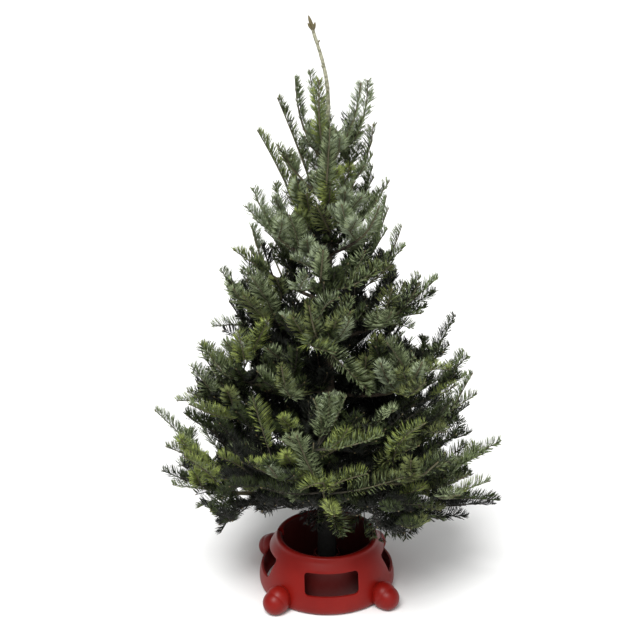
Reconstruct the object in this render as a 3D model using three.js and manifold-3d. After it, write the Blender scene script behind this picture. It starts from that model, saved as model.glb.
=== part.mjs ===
// A cut fir tree, 1.22 m tall, standing in its moulded plastic stand.
// Millimetres, +Z up. The origin is the centre of the stand's flat underside, and -Y is the
// stand's front window. The stand and the trunk each are one solid. The lower boughs are bare
// limbs that end where their foliage starts, and each mass of foliage is a stem with toothed
// sprays of needles fused to it.
import * as THREE from 'three';
import { mergeVertices } from 'three/addons/utils/BufferGeometryUtils.js';
import Module from 'manifold-3d';

const wasm = await Module();
wasm.setup();

// Whole tree
const TREE_HEIGHT = 1220;
const GAP = 0.3;
const SEED = 22;

// Stand: a bell-shaped skirt and a bowl, joined at a round lip, on four ball feet
const BOWL_FLOOR = 8;
const BOWL_FOOT_RADIUS = 80;
const MOUTH_RADIUS = 97;
const RIM_RADIUS = 110;
const LIP_HEIGHT = 112;
const LIP_RADIUS = (RIM_RADIUS - MOUTH_RADIUS) / 2;
const SKIRT_RADIUS = 137;
const SKIRT_OUTER_PULLS = [160, 10, 136, 75];
const SKIRT_INNER_PULLS = [132, 72, 155.5, 10];
const STAND_WALL = 4;
const STAND_SEGMENTS = 28;
const BOWL_OUTER_CORNER = [91.5, 14];
const BOWL_INNER_CORNERS = [[88, 20], [84, 11], [77, 8]];
const LIP_UNDERSIDE = 106;
const FOOT_COUNT = 4;
const FOOT_FIRST = 45;
const FOOT_BALL_RADIUS = 26;
const FOOT_CENTRE_RADIUS = 167;
const FOOT_CENTRE_HEIGHT = 24;
const FOOT_CONE_FOOT = [165, 26];
const FOOT_CONE_TOP = [138, 62];
const FOOT_CONE_RADII = [23, 3];
const WINDOW_WIDTH = 113;
const WINDOW_LOW = 45;
const WINDOW_HIGH = 90;
const WINDOW_CORNER = 8;
const WINDOW_CUT_FROM = 103;
const WINDOW_CUT_TO = 160;
const SOCKET_RADIUS = 24;
const SOCKET_WALL = 4;
const SOCKET_TOP = 72;
const SOCKET_SINK = 2;
const SOCKET_SEGMENTS = 12;
const FIN_REACH = 76;
const FIN_TOP = 58;
const FIN_THICKNESS = 3;

// Trunk: a round taper from the flat cut to the tip of the bare leader, which leans towards -X
const TRUNK_FOOT = BOWL_FLOOR + GAP;
const TRUNK_SIDES = 8;
const TRUNK_TAPER = [
  [TRUNK_FOOT, 21],
  [200, 19],
  [520, 13.5],
  [820, 8.4],
  [945, 5.6],
  [975, 4],
  [1195, 3.1],
];
const NODE_SWELLING = 1.4;
const NODE_SWELLING_LENGTH = 18;
const LEADER_LEAN = 35;
const LEAN_START = 1030;
const LEAN_POWER = 1.7;
const BUD_RADIUS = 5;
const BUD_LENGTH = 22;

// Tiers of limbs from the ground up. height: where they leave the trunk. first: direction of
// the first one, in degrees from +X. reach and rise: how far out and up the tips end.
// sag: how far the middle hangs below a straight line. lift: how steeply the side sprays rise.
// front: the share of that reach straight to the front. bare: the share of the limb with no
// foliage, which is a bough of its own. root: the limb's radius at the trunk.
const TIER_WORDS = [
  'name', 'height', 'count', 'first', 'reach', 'rise', 'sag', 'lift', 'front', 'bare', 'root'];
const TIERS = [
  ['tier1', 215, 5, 342, 350, 62, 22, -0.12, 0.78, 0.3, 6.5],
  ['tier2', 288, 6, 4, 350, 88, 26, 0.1, 0.95, 0.3, 6.5],
  ['tier3', 372, 4, 174, 308, 92, 24, 0.25, 1, 0.28, 6],
  ['tier4', 455, 6, 8, 270, 105, 24, 0.3, 1, 0, 4.6],
  ['tier5', 560, 5, 190, 226, 138, 22, 0.3, 1, 0, 4.2],
  ['tier6', 655, 4, 352, 184, 122, 18, 0.3, 1, 0, 3.8],
  ['tier7', 750, 4, 214, 166, 122, 14, 0.3, 1, 0, 3.4],
  ['tier8', 850, 4, 180, 126, 148, 12, 0.3, 1, 0, 3],
  ['top', 940, 5, 178, 82, 152, 14, 0.3, 1, 0, 2.8],
].map((row) => Object.fromEntries(row.map((value, k) => [TIER_WORDS[k], value])));
const AZIMUTH_JITTER = 7;
const HEIGHT_JITTER = 16;
const REACH_JITTER = 0.05;
const RISE_JITTER = 0.12;
const SIDE_BEND = 0.07;

// Limbs and twigs
const TIP_RADIUS = 1.5;
const TWIG_RADIUS = 2;
const STEM_END_RADIUS = 2.6;
const STEM_OVERLAP = 6;
const STEM_SIDES = 3;
const BOUGH_SIDES = 6;
const TAPER_STEPS = 3;

// Where sprays of needles leave a limb, and how they grow
const END_SPRAY = 122;
const END_SPRAY_SHARE = 0.52;
const NODE_SPACING = 54;
const FIRST_NODE = 30;
const BOUGH_END_SPACE = 14;
const SIDE_ANGLE = 54;
const SIDE_ANGLE_JITTER = 14;
const SIDE_SPRAY_MIN = 58;
const SIDE_SPRAY_MAX = 150;
const SIDE_SHARE = 0.7;
const SIDE_EXTRA = 48;
const HANG = 0.5;
const LIFT_JITTER = 0.25;
const UPWARD_PLACE = 0.45;
const UPWARD_LEAN = 0.5;
const UPWARD_SHORTER = 0.35;
const TURN_MIDDLE = 0.5;
const TURN_END = 0.9;
const TURN_FORWARD = 0.16;
const TURN_UP = 0.1;
const ROLL = 0.6;

// Blade of a spray
const SPRAY_HALF_WIDTH = 48;
const SPRAY_LIFT = 38;
const TOOTH_SIZE = 44;
const TOOTH_SLANT = 0.98;
const NOTCH_SHARE = 0.46;
const END_TOOTH_SHARE = 0.5;
const END_TOOTH_PLACE = 0.86;
const END_TOOTH_PITCH = 0.2;
const RIB_THINNING = 0.5;

// Room between neighbours
const SPRAY_CLEARANCE = 0.9;
const ROOT_REACH = 20;
const LENGTHS_TRIED = [1, 0.8, 0.6];
const DIRECTIONS_TRIED = 3;
const WIDTHS_TRIED = [1, 0.85, 0.7, 0.55, 0.4];
const CUT_SPARE = 3;
const FINEST_EDGE = 0.4;

const UP = new THREE.Vector3(0, 0, 1);

// Solids from geometry and back

// A closed geometry as a solid. A lathe or a mirrored shape can come out with its faces turned
// in, and then every triangle is turned over.
function toSolid(geometry) {
  const bare = geometry.clone();
  bare.deleteAttribute('normal');
  bare.deleteAttribute('uv');
  const merged = mergeVertices(bare, 1e-4);
  const vertProperties = new Float32Array(merged.attributes.position.array);
  const triVerts = new Uint32Array(merged.index.array);
  const solid = new wasm.Manifold(new wasm.Mesh({ numProp: 3, vertProperties, triVerts }));
  if (solid.volume() > 0) {
    return solid;
  }
  return new wasm.Manifold(new wasm.Mesh({ numProp: 3, vertProperties, triVerts: triVerts.reverse() }));
}

function toGeometry(solid) {
  const mesh = solid.getMesh();
  const geometry = new THREE.BufferGeometry();
  geometry.setAttribute('position', new THREE.BufferAttribute(mesh.vertProperties, 3));
  geometry.setIndex(new THREE.BufferAttribute(mesh.triVerts, 1));
  geometry.computeVertexNormals();
  return geometry;
}

// The largest connected body, so that no scrap or sealed hollow is left
function mainBody(solid) {
  const bodies = solid.decompose();
  bodies.sort((a, b) => b.volume() - a.volume());
  return bodies[0];
}

function uprightLathe(profile, segments) {
  return new THREE.LatheGeometry(profile, segments).rotateX(Math.PI / 2);
}

// Repeatable draws between 0 and 1
function seeded(seed) {
  let state = seed;
  const draw = () => {
    state = (1664525 * state + 1013904223) % 4294967296;
    return state / 4294967296;
  };
  draw();
  draw();
  return draw;
}

// Stand

// Half of the stand's section: underside, bowl's outside, skirt's inside and outside, lip and
// bowl's inside
function standProfile() {
  const lipPull = LIP_HEIGHT + 4 / 3 * LIP_RADIUS;
  const path = new THREE.Path();
  path.moveTo(0, 0);
  path.lineTo(BOWL_FOOT_RADIUS, 0);
  path.lineTo(...BOWL_OUTER_CORNER);
  path.lineTo(MOUTH_RADIUS + STAND_WALL, LIP_UNDERSIDE);
  path.lineTo(RIM_RADIUS - STAND_WALL, LIP_UNDERSIDE);
  path.bezierCurveTo(...SKIRT_INNER_PULLS, SKIRT_RADIUS - STAND_WALL, 0);
  path.lineTo(SKIRT_RADIUS, 0);
  path.bezierCurveTo(...SKIRT_OUTER_PULLS, RIM_RADIUS, LIP_HEIGHT);
  path.bezierCurveTo(RIM_RADIUS, lipPull, MOUTH_RADIUS, lipPull, MOUTH_RADIUS, LIP_HEIGHT);
  BOWL_INNER_CORNERS.forEach((corner) => path.lineTo(...corner));
  path.lineTo(0, BOWL_FLOOR);
  return path.getPoints(4);
}

function makeWindowCutter() {
  const half = WINDOW_WIDTH / 2;
  const corner = WINDOW_CORNER;
  const outline = new THREE.Shape();
  outline.moveTo(half, WINDOW_LOW + corner);
  outline.lineTo(half, WINDOW_HIGH - corner);
  outline.absarc(half - corner, WINDOW_HIGH - corner, corner, 0, Math.PI / 2, false);
  outline.absarc(corner - half, WINDOW_HIGH - corner, corner, Math.PI / 2, Math.PI, false);
  outline.absarc(corner - half, WINDOW_LOW + corner, corner, Math.PI, 1.5 * Math.PI, false);
  outline.absarc(half - corner, WINDOW_LOW + corner, corner, 1.5 * Math.PI, 2 * Math.PI, false);
  const depth = WINDOW_CUT_TO - WINDOW_CUT_FROM;
  const block = new THREE.ExtrudeGeometry(outline, { depth, bevelEnabled: false, curveSegments: 2 });
  block.rotateX(Math.PI / 2);
  block.translate(0, -WINDOW_CUT_FROM, 0);
  return block;
}

// A ball with a cone that runs up from it into the skirt
function makeFoot() {
  const ball = new THREE.SphereGeometry(FOOT_BALL_RADIUS, 10, 7).rotateX(Math.PI / 2);
  ball.translate(FOOT_CENTRE_RADIUS, 0, FOOT_CENTRE_HEIGHT);
  const from = new THREE.Vector3(FOOT_CONE_FOOT[0], 0, FOOT_CONE_FOOT[1]);
  const to = new THREE.Vector3(FOOT_CONE_TOP[0], 0, FOOT_CONE_TOP[1]);
  const [wide, narrow] = FOOT_CONE_RADII;
  const cone = new THREE.CylinderGeometry(narrow, wide, from.distanceTo(to), 8);
  const direction = to.clone().sub(from).normalize();
  cone.applyQuaternion(new THREE.Quaternion().setFromUnitVectors(new THREE.Vector3(0, 1, 0), direction));
  cone.translate((from.x + to.x) / 2, 0, (from.z + to.z) / 2);
  return toSolid(ball).add(toSolid(cone));
}

// The socket that the butt stands in, with four fins to the bowl's floor
function makeSocket() {
  const low = BOWL_FLOOR - SOCKET_SINK;
  const outer = SOCKET_RADIUS + SOCKET_WALL;
  const ring = toSolid(uprightLathe([
    new THREE.Vector2(SOCKET_RADIUS, low),
    new THREE.Vector2(outer + SOCKET_SINK, low),
    new THREE.Vector2(outer, SOCKET_TOP),
    new THREE.Vector2(SOCKET_RADIUS, SOCKET_TOP),
    new THREE.Vector2(SOCKET_RADIUS, low),
  ], SOCKET_SEGMENTS));
  const side = new THREE.Shape([
    new THREE.Vector2(outer - SOCKET_SINK, low),
    new THREE.Vector2(FIN_REACH, low),
    new THREE.Vector2(outer - SOCKET_SINK, FIN_TOP),
  ]);
  const fin = new THREE.ExtrudeGeometry(side, { depth: FIN_THICKNESS, bevelEnabled: false });
  fin.rotateX(Math.PI / 2);
  fin.translate(0, FIN_THICKNESS / 2, 0);
  return wasm.Manifold.union([ring, ...aroundTheAxis(toSolid(fin), FOOT_COUNT, FOOT_FIRST)]);
}

function aroundTheAxis(solid, count, first) {
  return Array.from({ length: count }, (_, i) => solid.rotate([0, 0, first + 360 / count * i]));
}

function makeStand() {
  const shell = toSolid(uprightLathe(standProfile(), STAND_SEGMENTS));
  const windows = wasm.Manifold.union(aroundTheAxis(toSolid(makeWindowCutter()), FOOT_COUNT, 0));
  const belowFloor = toSolid(new THREE.BoxGeometry(600, 600, 100).translate(0, 0, -50));
  const feet = aroundTheAxis(makeFoot(), FOOT_COUNT, FOOT_FIRST);
  const body = wasm.Manifold.union([shell.subtract(windows), ...feet, makeSocket()]);
  return mainBody(body.subtract(belowFloor)).asOriginal().simplify(FINEST_EDGE);
}

// Trunk

function leanAt(height) {
  const share = Math.max(0, (height - LEAN_START) / (TREE_HEIGHT - LEAN_START));
  return -LEADER_LEAN * share ** LEAN_POWER;
}

function trunkRadius(height) {
  const next = TRUNK_TAPER.findIndex(([top]) => height <= top);
  if (next < 1) {
    return TRUNK_TAPER.at(next)[1];
  }
  const [low, wide] = TRUNK_TAPER[next - 1];
  const [high, narrow] = TRUNK_TAPER[next];
  return THREE.MathUtils.mapLinear(height, low, high, wide, narrow);
}

// Rings of the trunk as [height, radius]: the taper, a swelling at each tier, and the end bud
function trunkRings() {
  const rings = TRUNK_TAPER.map(([height]) => [height, trunkRadius(height)]);
  for (const tier of TIERS) {
    const below = tier.height - NODE_SWELLING_LENGTH;
    rings.push([below, trunkRadius(below)]);
    rings.push([tier.height, trunkRadius(tier.height) + NODE_SWELLING]);
  }
  for (const share of [0.25, 0.5, 0.75]) {
    const height = THREE.MathUtils.lerp(LEAN_START, TREE_HEIGHT - BUD_LENGTH, share);
    rings.push([height, trunkRadius(height)]);
  }
  rings.push([TREE_HEIGHT - 0.6 * BUD_LENGTH, BUD_RADIUS]);
  rings.push([TREE_HEIGHT - 0.3 * BUD_LENGTH, BUD_RADIUS * 0.9]);
  return rings.sort((a, b) => a[0] - b[0]);
}

function makeTrunk(extra) {
  const profile = [new THREE.Vector2(0, TRUNK_FOOT)];
  for (const [height, radius] of trunkRings()) {
    profile.push(new THREE.Vector2(radius + extra, height));
  }
  profile.push(new THREE.Vector2(0, TREE_HEIGHT));
  const trunk = uprightLathe(profile, TRUNK_SIDES);
  const place = trunk.attributes.position;
  for (let i = 0; i < place.count; i++) {
    place.setX(i, place.getX(i) + leanAt(place.getZ(i)));
  }
  return toSolid(trunk);
}

// Limbs and twigs

// The part of a curve between two shares of its length
function stretch(curve, from, to) {
  const shares = [0, 0.25, 0.5, 0.75, 1].map((k) => THREE.MathUtils.lerp(from, to, k));
  return new THREE.CatmullRomCurve3(shares.map((share) => curve.getPointAt(share)));
}

// Along, across and upward directions at a share of a curve's length, turned about it by roll
function frameAt(curve, share, roll) {
  const along = curve.getTangentAt(share);
  const across = new THREE.Vector3().crossVectors(along, UP).normalize();
  across.applyAxisAngle(along, roll);
  const above = new THREE.Vector3().crossVectors(across, along);
  return { along, across, above };
}

// Lays a geometry that runs from y = 0 to y = length along a curve
function layAlong(geometry, curve, length, roll) {
  const place = geometry.attributes.position;
  const spot = new THREE.Vector3();
  for (let i = 0; i < place.count; i++) {
    const share = THREE.MathUtils.clamp(place.getY(i) / length, 0, 1);
    const { across, above } = frameAt(curve, share, roll);
    spot.copy(curve.getPointAt(share));
    spot.addScaledVector(across, place.getX(i));
    spot.addScaledVector(above, place.getZ(i));
    place.setXYZ(i, spot.x, spot.y, spot.z);
  }
  return geometry;
}

// A tapering limb or twig with flat ends
function makeTaper(curve, rootRadius, tipRadius, sides) {
  const length = curve.getLength();
  const profile = [new THREE.Vector2(0, 0)];
  for (let i = 0; i <= TAPER_STEPS; i++) {
    const share = i / TAPER_STEPS;
    const radius = THREE.MathUtils.lerp(rootRadius, tipRadius, share);
    profile.push(new THREE.Vector2(radius, length * share));
  }
  profile.push(new THREE.Vector2(0, length));
  return toSolid(layAlong(new THREE.LatheGeometry(profile, sides), curve, length, 0));
}

// A toothed blade with a thick midrib, from y = 0 to y = length. Its teeth slant forward and
// stand up in a shallow V, thin out to an edge, and meet in a blunt tip.
function sprayBlade(length, halfWidth) {
  const teeth = Math.max(3, Math.round(length / TOOTH_SIZE));
  const pitch = length / (teeth + END_TOOTH_PITCH);
  const lift = Math.tan(THREE.MathUtils.degToRad(SPRAY_LIFT));
  const places = [];
  const faces = [];
  const addPlace = (x, y, z) => places.push(x, y, z) / 3 - 1;
  const ribPlaces = (side) => Array.from({ length: teeth }, (_, j) =>
    addPlace(0, pitch * j, side * TWIG_RADIUS * (1 - RIB_THINNING * j / teeth)));
  const ribs = [ribPlaces(1), ribPlaces(-1)];
  const apex = addPlace(0, length, 0);
  const roots = [1, -1].map((side) => addPlace(side * TWIG_RADIUS, 0, 0));
  [1, -1].forEach((side, k) => {
    const notches = [roots[k]];
    for (let j = 1; j < teeth; j++) {
      const width = NOTCH_SHARE * halfWidth;
      notches.push(addPlace(side * width, pitch * j, width * lift));
    }
    notches.push(apex);
    const tips = Array.from({ length: teeth }, (_, j) => {
      const last = j === teeth - 1;
      const width = halfWidth * (last ? END_TOOTH_SHARE : 1);
      const reach = last ? END_TOOTH_PLACE * length : pitch * (j + TOOTH_SLANT);
      return addPlace(side * width, reach, width * lift);
    });
    ribs.forEach((rib, face) => {
      const addFace = (a, b, c) => faces.push(...(k === face ? [a, b, c] : [a, c, b]));
      for (let j = 0; j < teeth; j++) {
        addFace(rib[j], notches[j], tips[j]);
        addFace(rib[j], tips[j], notches[j + 1]);
        if (j < teeth - 1) {
          addFace(rib[j], notches[j + 1], rib[j + 1]);
        }
      }
    });
  });
  faces.push(roots[0], ribs[0][0], roots[1], roots[1], ribs[1][0], roots[0]);
  const blade = new THREE.BufferGeometry();
  blade.setAttribute('position', new THREE.Float32BufferAttribute(places, 3));
  blade.setIndex(faces);
  return blade;
}

function makeSpray(curve, roll, halfWidth) {
  const length = curve.getLength();
  return toSolid(layAlong(sprayBlade(length, halfWidth), curve, length, roll));
}

// Where one limb of a tier grows: out and up from the trunk's axis, sagging and bent aside
function planLimb(tier, tierIndex, index) {
  const draw = seeded(SEED + 97 * tierIndex + 11 * index);
  const jitter = (amount) => amount * (2 * draw() - 1);
  const turn = tier.first + 360 / tier.count * index + jitter(AZIMUTH_JITTER);
  const azimuth = THREE.MathUtils.degToRad(turn);
  const height = tier.height + jitter(HEIGHT_JITTER);
  const frontward = Math.max(0, -Math.sin(azimuth)) ** 2;
  const fullReach = tier.reach * (1 + jitter(REACH_JITTER));
  const reach = fullReach * THREE.MathUtils.lerp(1, tier.front, frontward);
  const rise = tier.rise * (1 + jitter(RISE_JITTER));
  const bend = reach * jitter(SIDE_BEND);
  const points = [0, 0.2, 0.4, 0.6, 0.8, 1].map((share) => {
    const out = reach * share;
    const bow = Math.sin(Math.PI * share);
    return new THREE.Vector3(
      out * Math.cos(azimuth) - bend * bow * Math.sin(azimuth),
      out * Math.sin(azimuth) + bend * bow * Math.cos(azimuth),
      height + rise * share - tier.sag * bow);
  });
  const curve = new THREE.CatmullRomCurve3(points);
  const length = curve.getLength();
  const endSpray = Math.min(END_SPRAY, END_SPRAY_SHARE * length);
  const name = String.fromCharCode('a'.charCodeAt(0) + index);
  return { tier, name, jitter, curve, length, endShare: 1 - endSpray / length };
}

function limbRadius(limb, share) {
  return THREE.MathUtils.lerp(limb.tier.root, TIP_RADIUS, share);
}

// The flat cut square to a limb where its bough ends and its foliage starts: what lies before
// it by the gap, or beyond it
function cutSquare(solid, limb, beyond) {
  const along = limb.curve.getTangentAt(limb.tier.bare);
  const place = along.dot(limb.curve.getPointAt(limb.tier.bare));
  return beyond
    ? solid.trimByPlane(along.toArray(), place)
    : solid.trimByPlane(along.negate().toArray(), GAP - place);
}

function makeBough(limb, trunkSpace) {
  const to = limb.tier.bare + CUT_SPARE / limb.length;
  const limbRoot = makeTaper(stretch(limb.curve, 0, to), limb.tier.root, limbRadius(limb, to), BOUGH_SIDES);
  return cutSquare(limbRoot, limb, false).subtract(trunkSpace);
}

// The stem of a mass goes on from its bough, or from the trunk, into the end spray
function makeStem(limb) {
  const from = Math.max(0, limb.tier.bare - CUT_SPARE / limb.length);
  const curve = stretch(limb.curve, from, limb.endShare + STEM_OVERLAP / limb.length);
  const stem = makeTaper(curve, limbRadius(limb, from), STEM_END_RADIUS, STEM_SIDES);
  return from > 0 ? cutSquare(stem, limb, true) : stem;
}

// The course of a spray that leaves its limb to one side or upward, then turns forward and up
function branchCourse(limb, { share, side, upward, hang }) {
  const { along, across, above } = frameAt(limb.curve, share, 0);
  const start = limb.curve.getPointAt(share);
  const angle = THREE.MathUtils.degToRad(SIDE_ANGLE + limb.jitter(SIDE_ANGLE_JITTER));
  const room = Math.hypot(start.x, start.y) * Math.sin(Math.PI / limb.tier.count) / Math.sin(angle);
  const wanted = Math.min(room, SIDE_SHARE * limb.length * (1 - share) + SIDE_EXTRA);
  const fullLength = THREE.MathUtils.clamp(wanted, SIDE_SPRAY_MIN, SIDE_SPRAY_MAX);
  const length = fullLength * (1 - UPWARD_SHORTER * upward);
  const rising = upward * Math.sin(angle) + limb.tier.lift - hang + limb.jitter(LIFT_JITTER);
  const out = along.clone().multiplyScalar(Math.cos(angle));
  out.addScaledVector(across, side * Math.sin(angle));
  out.addScaledVector(above, rising);
  const middle = start.clone().addScaledVector(out, TURN_MIDDLE * length);
  const end = start.clone().addScaledVector(out, TURN_END * length);
  end.addScaledVector(along, TURN_FORWARD * length).addScaledVector(UP, TURN_UP * length);
  return new THREE.QuadraticBezierCurve3(start, middle, end);
}

// The places where a mass would have further sprays, from the tip inwards: two to the sides
// at each node, hanging at every second node, and one upward between the nodes
function planSprays(limb) {
  const places = [];
  const step = NODE_SPACING / limb.length;
  const inner = limb.tier.bare + (limb.tier.bare > 0 ? BOUGH_END_SPACE : FIRST_NODE) / limb.length;
  const count = Math.ceil((limb.endShare - inner) / step);
  for (let node = 0; node < count; node++) {
    const share = limb.endShare - node * step;
    const hang = node % 2 * HANG;
    const between = Math.max(inner, share - UPWARD_PLACE * step);
    places.push({ share, side: 1, upward: 0, hang });
    places.push({ share, side: -1, upward: 0, hang });
    places.push({ share: between, side: limb.jitter(UPWARD_LEAN), upward: 1, hang: 0 });
  }
  return places;
}

// Solids that stand in each other's way. Whatever has another owner is kept clear of.
const obstacles = [];

function addObstacle(solid, owner) {
  obstacles.push({ solid, owner, box: solid.boundingBox() });
}

function isClear(solid, owner) {
  const box = solid.boundingBox();
  const near = (other) => [0, 1, 2].every((k) =>
    box.min[k] - SPRAY_CLEARANCE < other.max[k] && other.min[k] - SPRAY_CLEARANCE < box.max[k]);
  return !obstacles.some((one) => one.owner !== owner && near(one.box)
    && solid.minGap(one.solid, SPRAY_CLEARANCE) < SPRAY_CLEARANCE);
}

// A spray meets its own mass only at its root: what lies further out keeps clear of it
function isClearOfSisters(solid, course, parts) {
  const along = course.getTangentAt(0);
  const offset = along.dot(course.getPointAt(0)) + ROOT_REACH;
  const outer = solid.trimByPlane(along.toArray(), offset);
  return parts.every((part) => outer.minGap(part, SPRAY_CLEARANCE) >= SPRAY_CLEARANCE);
}

// The spray at a limb's end, as wide as its neighbours let it be
function fitEndSpray(limb) {
  const course = stretch(limb.curve, limb.endShare, 1);
  const roll = limb.jitter(ROLL);
  const forms = WIDTHS_TRIED.map((share) => makeSpray(course, roll, share * SPRAY_HALF_WIDTH));
  return forms.find((solid) => isClear(solid, limb)) ?? forms.at(-1);
}

// The longest form of a spray that keeps its clearances, over a few directions, or nothing
function fitSpray(place, limb) {
  const courses = Array.from({ length: DIRECTIONS_TRIED }, () => branchCourse(limb, place));
  const roll = limb.jitter(ROLL);
  for (const share of LENGTHS_TRIED) {
    for (const full of courses) {
      const course = stretch(full, 0, share);
      const solid = makeSpray(course, roll, SPRAY_HALF_WIDTH);
      if (isClear(solid, limb) && isClearOfSisters(solid, course, limb.parts)) {
        return solid;
      }
    }
  }
  return null;
}

// The tree

const makeMaterial = (color, roughness) =>
  new THREE.MeshStandardMaterial({ color, roughness, metalness: 0 });
const plastic = () => makeMaterial(0x8a271f, 0.42);
const bark = () => makeMaterial(0x5d4f40, 0.9);
const needles = () => makeMaterial(0x4b5a34, 0.75);

const tree = new THREE.Group();

function addNode(name, solid, material) {
  const mesh = new THREE.Mesh(toGeometry(solid), material);
  mesh.name = name;
  tree.add(mesh);
}

const stand = makeStand();
const trunk = makeTrunk(0);
const trunkSpace = makeTrunk(GAP);
addObstacle(stand, 'stand');
addObstacle(trunk, 'trunk');
addNode('stand', stand, plastic());
addNode('trunk', trunk, bark());

const limbs = TIERS.flatMap((tier, tierIndex) =>
  Array.from({ length: tier.count }, (_, index) => planLimb(tier, tierIndex, index)));

for (const limb of limbs) {
  limb.parts = [makeStem(limb)];
  addObstacle(limb.parts[0], limb);
  if (limb.tier.bare > 0) {
    const bough = makeBough(limb, trunkSpace);
    addObstacle(bough, 'boughs');
    addNode(`${limb.tier.name}_bough_${limb.name}`, bough, bark());
  }
}

for (const limb of limbs) {
  const solid = fitEndSpray(limb);
  limb.parts.push(solid);
  addObstacle(solid, limb);
  limb.sprays = planSprays(limb);
}

// The masses grow side by side, one spray each at a time, so that none takes another's space
const rounds = Math.max(...limbs.map((limb) => limb.sprays.length));
for (let round = 0; round < rounds; round++) {
  for (const limb of limbs.filter((one) => round < one.sprays.length)) {
    const solid = fitSpray(limb.sprays[round], limb);
    if (solid) {
      limb.parts.push(solid);
      addObstacle(solid, limb);
    }
  }
}

for (const limb of limbs) {
  const whole = wasm.Manifold.union(limb.parts).asOriginal().simplify(FINEST_EDGE);
  const mass = mainBody(whole.subtract(trunkSpace));
  addNode(`${limb.tier.name}_foliage_${limb.name}`, mass, needles());
}

export default tree;
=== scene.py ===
"""A cut fir tree in its moulded plastic stand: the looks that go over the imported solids.

The limbs grow by the same seeded rule and sizes as the solids, and are carried on here to
finer twigs and to needles. Lengths in the rule are millimetres; meshes are in metres.
"""

import math
from contextlib import contextmanager

import bpy
import numpy as np
from mathutils import Matrix, Vector


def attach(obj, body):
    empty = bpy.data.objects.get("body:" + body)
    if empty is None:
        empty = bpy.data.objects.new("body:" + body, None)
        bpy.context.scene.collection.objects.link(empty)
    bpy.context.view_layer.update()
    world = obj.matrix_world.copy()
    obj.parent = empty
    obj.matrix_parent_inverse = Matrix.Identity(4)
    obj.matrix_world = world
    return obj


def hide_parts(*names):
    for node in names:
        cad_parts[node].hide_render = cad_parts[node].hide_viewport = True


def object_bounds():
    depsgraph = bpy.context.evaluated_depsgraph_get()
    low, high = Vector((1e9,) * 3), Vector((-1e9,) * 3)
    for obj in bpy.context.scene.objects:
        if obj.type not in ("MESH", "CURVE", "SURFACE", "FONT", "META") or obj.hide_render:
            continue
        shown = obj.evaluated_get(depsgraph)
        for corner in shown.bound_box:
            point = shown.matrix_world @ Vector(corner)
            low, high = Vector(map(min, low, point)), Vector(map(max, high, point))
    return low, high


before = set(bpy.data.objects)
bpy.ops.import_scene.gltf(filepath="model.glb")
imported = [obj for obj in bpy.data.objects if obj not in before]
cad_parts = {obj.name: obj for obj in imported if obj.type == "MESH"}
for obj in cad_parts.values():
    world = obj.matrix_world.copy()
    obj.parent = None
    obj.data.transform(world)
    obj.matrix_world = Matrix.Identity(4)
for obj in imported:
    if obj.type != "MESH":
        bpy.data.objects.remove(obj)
cad_low, cad_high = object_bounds()
bpy.ops.object.select_all(action="DESELECT")

MM = 0.001
UP = np.array([0.0, 0.0, 1.0])

# Sizes of the stand, in millimetres and degrees

BOWL_FLOOR = 8
BOWL_FOOT_RADIUS = 80
MOUTH_RADIUS = 97
RIM_RADIUS = 110
LIP_HEIGHT = 112
LIP_RADIUS = (RIM_RADIUS - MOUTH_RADIUS) / 2
LIP_UNDERSIDE = 106
SKIRT_RADIUS = 137
STAND_WALL = 4
TURN_STEPS = 120
FOOT_COUNT = 4
FOOT_FIRST = 45
FOOT_BALL_RADIUS = 26
FOOT_CENTRE_RADIUS = 167
FOOT_CENTRE_HEIGHT = 24
WINDOW_WIDTH = 113
WINDOW_LOW = 45
WINDOW_HIGH = 90
WINDOW_CORNER = 8
WINDOW_CUT = (103, 160)
HUMP_RADII = (26, 27, 30)
HUMP_PLACE = (158, 0, 27)
HUMP_LEAN = -8
SCOOP_RADIUS = 9
SCOOP_LENGTH = 24
SCOOP_PLACE = (-96, 22, 112)
EDGE_ROUNDING = 0.8
SHARP_EDGE = 48
SOCKET_RADIUS = 24
SOCKET_WALL = 4
SOCKET_TOP = 72
FIN_REACH = 76
FIN_TOP = 58
FIN_THICKNESS = 3
FIN_SHOULDER = 4
FIN_ROUNDING = 0.6

# Sizes of the tree and its rule of growth, as in the solids

TREE_HEIGHT = 1220
SEED = 22
TRUNK_FOOT = 8.3
BUTT_RADIUS = 21
TRUNK_TAPER = [(8.3, 21), (200, 19), (520, 13.5), (820, 8.4), (945, 5.6), (975, 4), (1195, 3.1)]
NODE_SWELLING = 1.4
LEADER_LINE = [(1030, 0), (1050, 1.6), (1078, 1), (1101, -1.8), (1124, -7.7), (1147, -14.4),
               (1180, -24.5), (1220, -35)]
LEADER_FOOT = 980
YOUNG_BARK_FROM = 965
TRUNK_STEP = 7.5
TRUNK_SIDES = 36
BUD_LENGTH = 22
OLD_BARK_SHARE = 0.5
BOUGH_TAPER = (1.7, 1.15, 1, 0.9, 0.82, 0.74, 0.66, 0.56, 0.46, 0.36)
BOUGH_SIDES = 10
BOUGH_STEPS = 40
YOUNG_TIERS = ("tier8", "top")
TIER_WORDS = ("name", "height", "count", "first", "reach", "rise", "sag", "lift", "front", "bare",
              "root")
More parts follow.
